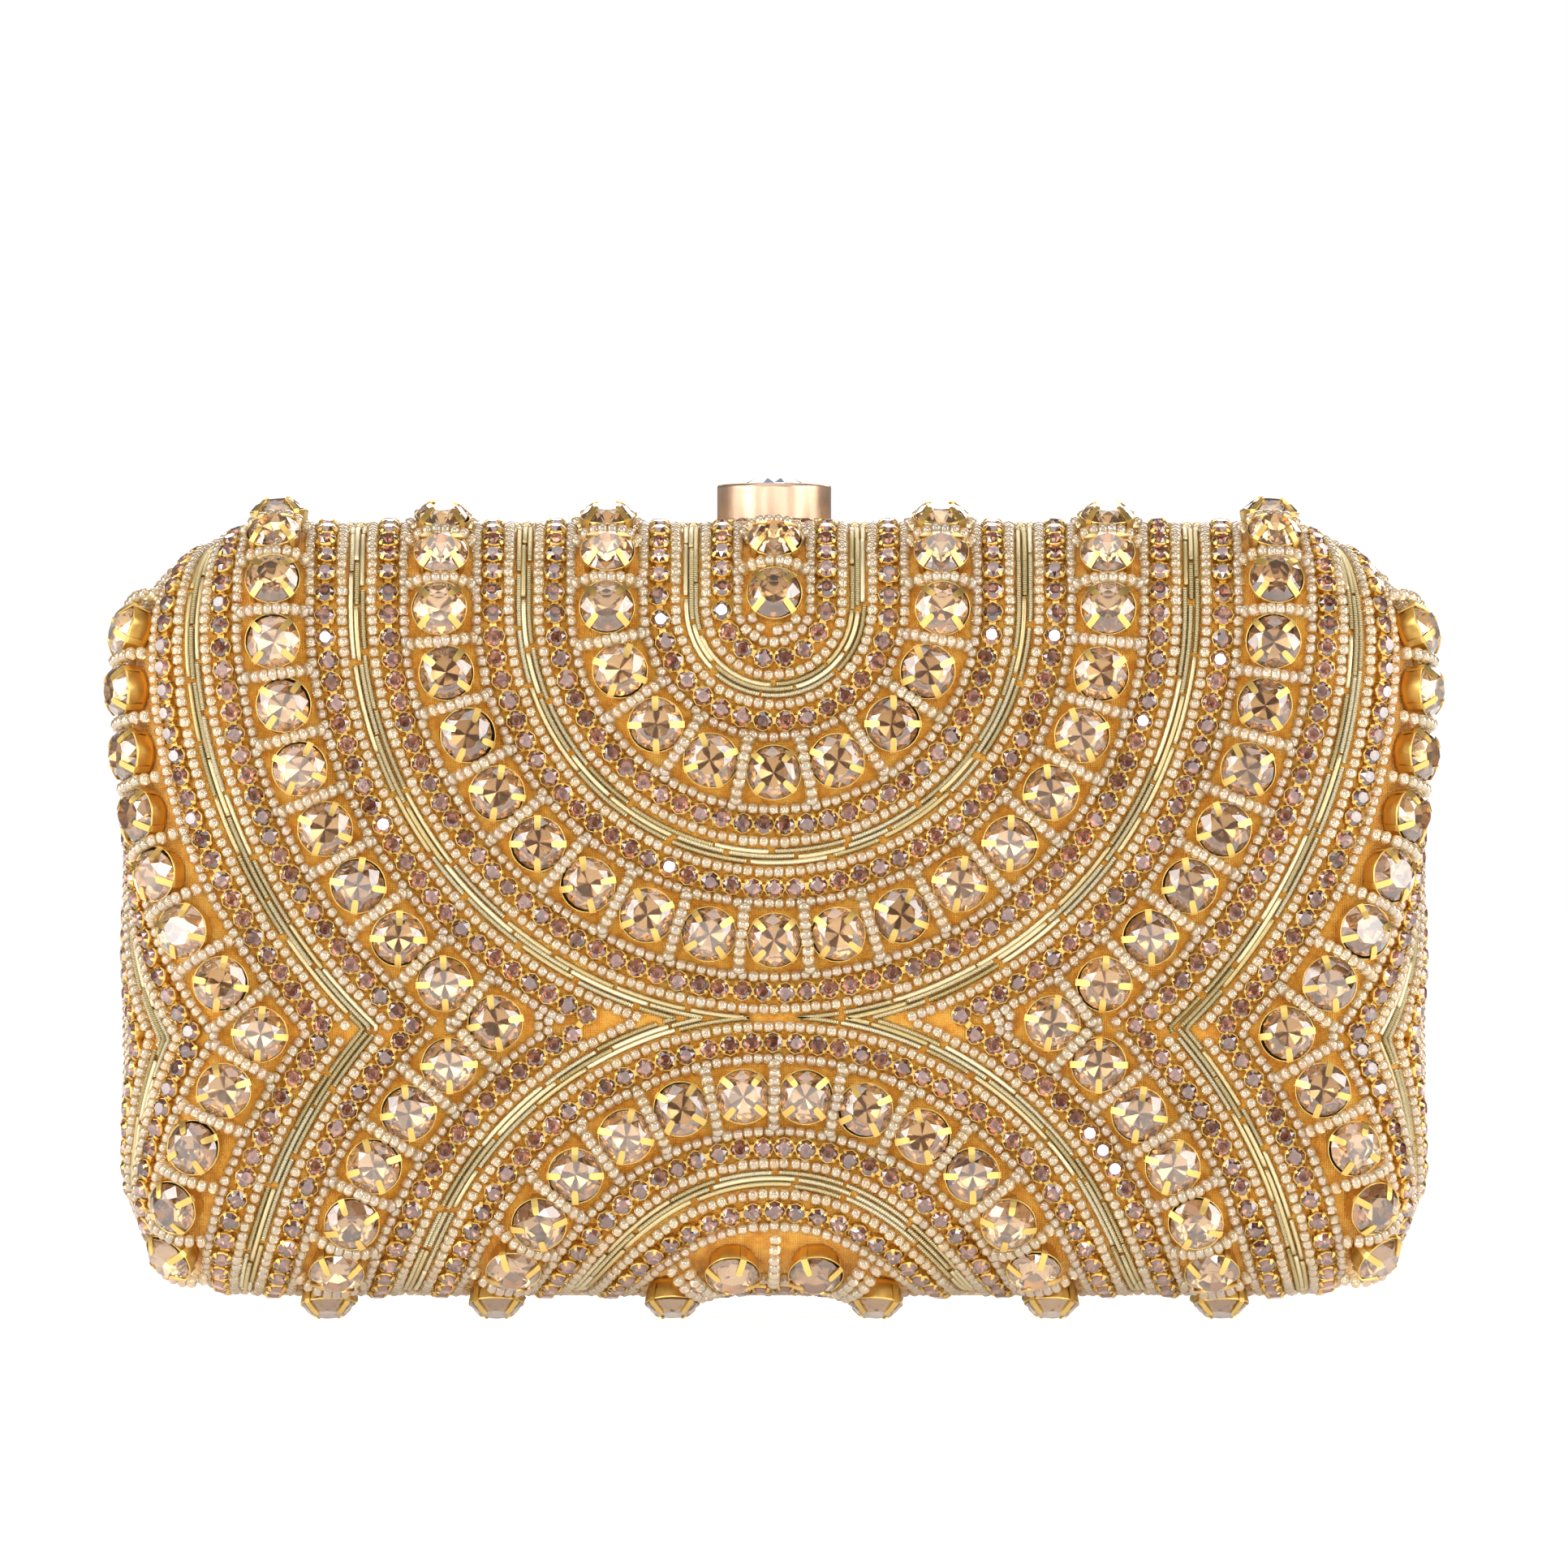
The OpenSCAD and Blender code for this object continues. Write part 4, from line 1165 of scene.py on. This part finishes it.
# ------ the knob's pointed crystal
def point_crystal():
    """Sixteen sides that rise to a low point, over a foiled back."""
    low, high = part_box("knob_crystal")
    r = (high.x - low.x) / 2 / MM - 0.05
    points = ring_points(r, -0.25, 16) + ring_points(r, 0.12, 16)
    points += ring_points(r * 0.62, 0.86, 8, 0.5) + [(0, 0, 1.55), (0, 0, -1.1)]
    girdle, mid, tip, culet = 16, 32, 40, 41
    crown = between_rings(0, girdle, 16)
    for i in range(8):
        g, g_next = girdle + 2 * i, girdle + (2 * i + 2) % 16
        here, after = mid + i, mid + (i + 1) % 8
        crown += [(g, g + 1, here), (g + 1, g_next, here)]
        crown += [(here, g_next, after), (here, after, tip)]
    pavilion = [((k + 1) % 16, k, culet) for k in range(16)]
    piece = instances(
        "knob_point_crystal", Template().add_stone(points, crown, pavilion),
        np.array([[0.0, KNOB_Y, KNOB_TOP]]), np.eye(3)[None], [CRYSTAL, CRYSTAL_FOIL],
        tone=np.array([0.6]),
    )
    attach(piece, "knob_button")
    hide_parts("knob_crystal")


point_crystal()


# ------ looks of the hard pieces
for material, names in (
    (FRAME_GOLD, "front_frame rear_frame knob_collar chain_lug_left chain_lug_right"),
    (KNOB_GOLD, "knob"),
    (BOARD, "front_shell rear_shell"),
    (STEEL, "front_frame_rivets rear_frame_rivets keeper keeper_rivets hinge_pin lock_housing"),
    (STEEL, "lock_screws catch_leaf catch_leaf_rivet plunger return_spring"),
):
    for name in names.split():
        for slot in NODES[name].material_slots:
            slot.material = material


# ------ stage, light and camera
def white_floor():
    """A wide white floor, brighter to the camera so that its edge doesn't show."""
    white = Shader("studio_white", (0.93, 0.93, 0.93), 0.8, Emission_Color=(1, 1, 1, 1))
    white.link(white.span(white.camera_ray(), 0.45, 0.86), "Emission Strength")
    white.bump(white.noise(40, 3), 0.02, 0.1)
    edge = 9000.0
    co = np.array([[(-edge, y, 0), (edge, y, 0)] for y in (-edge, edge)])
    grid_piece("studio_floor", co, [white.material])


def soft_world():
    """Plain white to the camera, and soft dark and light bands in reflections."""
    world = bpy.data.worlds.new("studio_world")
    bpy.context.scene.world = world
    world.use_nodes = True
    w = Nodes(world.node_tree)
    where = w.node("ShaderNodeTexCoord").outputs["Generated"]
    bands = w.ramp(w.noise(2.2, 1.0, 0.5, where), (0.38, (0.15, 0.15, 0.16)), (0.62, (1, 1, 1)))
    soft = w.node("ShaderNodeBackground", {"Color": bands, "Strength": 0.35})
    plain = w.node("ShaderNodeBackground", {"Color": (1, 1, 1, 1)})
    inputs = {0: w.camera_ray(), 1: soft.outputs[0], 2: plain.outputs[0]}
    choice = w.node("ShaderNodeMixShader", inputs)
    w.tree.links.new(choice.outputs[0], w.tree.nodes["World Output"].inputs["Surface"])


def lamps():
    """Soft boxes on both sides, above and behind, and small bright lamps for sparkle."""
    boxes = [
        ("box_left", (-0.85, -0.62, 0.45), (0.4, 0.9), 6.0),
        ("box_right", (0.85, -0.6, 0.45), (0.4, 0.9), 5.0),
        ("side_left", (-1.0, -0.15, 0.35), (0.35, 0.8), 3.2),
        ("side_right", (1.0, -0.12, 0.35), (0.35, 0.8), 3.8),
        ("box_top", (0.0, -0.25, 1.2), (1.1, 0.7), 4),
        ("front_fill", (-0.3, -1.4, 0.8), (1.3, 0.8), 2),
        ("box_rear", (0.2, 1.1, 0.75), (1.4, 0.8), 9),
    ]
    sparkle = ((-0.35, 0.35), (0.3, 0.42), (-0.12, 0.6), (0.5, 0.12), (-0.5, 0.05), (0.1, 0.28))
    for k, (x, z) in enumerate(sparkle):
        boxes.append((f"sparkle_{k}", (x, -1.25, z), (0.13, 0.13), 0.8))
    for name, place, size, power in boxes:
        data = bpy.data.lights.new(name, "AREA")
        data.shape = "RECTANGLE"
        data.size, data.size_y = size
        data.energy = power
        lamp = add_object(name, data, place)
        toward = Vector((0, 0, 0.06)) - lamp.location
        lamp.rotation_euler = toward.to_track_quat("-Z", "Y").to_euler()


def camera():
    """A long lens, level with the bag's middle, as in the catalogue view."""
    data = bpy.data.cameras.new("camera")
    data.lens, data.sensor_width = 451, 36
    data.clip_start, data.clip_end = 0.05, 20
    eye = add_object("camera", data, (0.0015, -3.0, 0.0814))
    eye.rotation_euler = (math.pi / 2, 0, 0)
    bpy.context.scene.camera = eye
    bpy.context.scene.view_settings.view_transform = "Standard"


white_floor()
soft_world()
lamps()
camera()
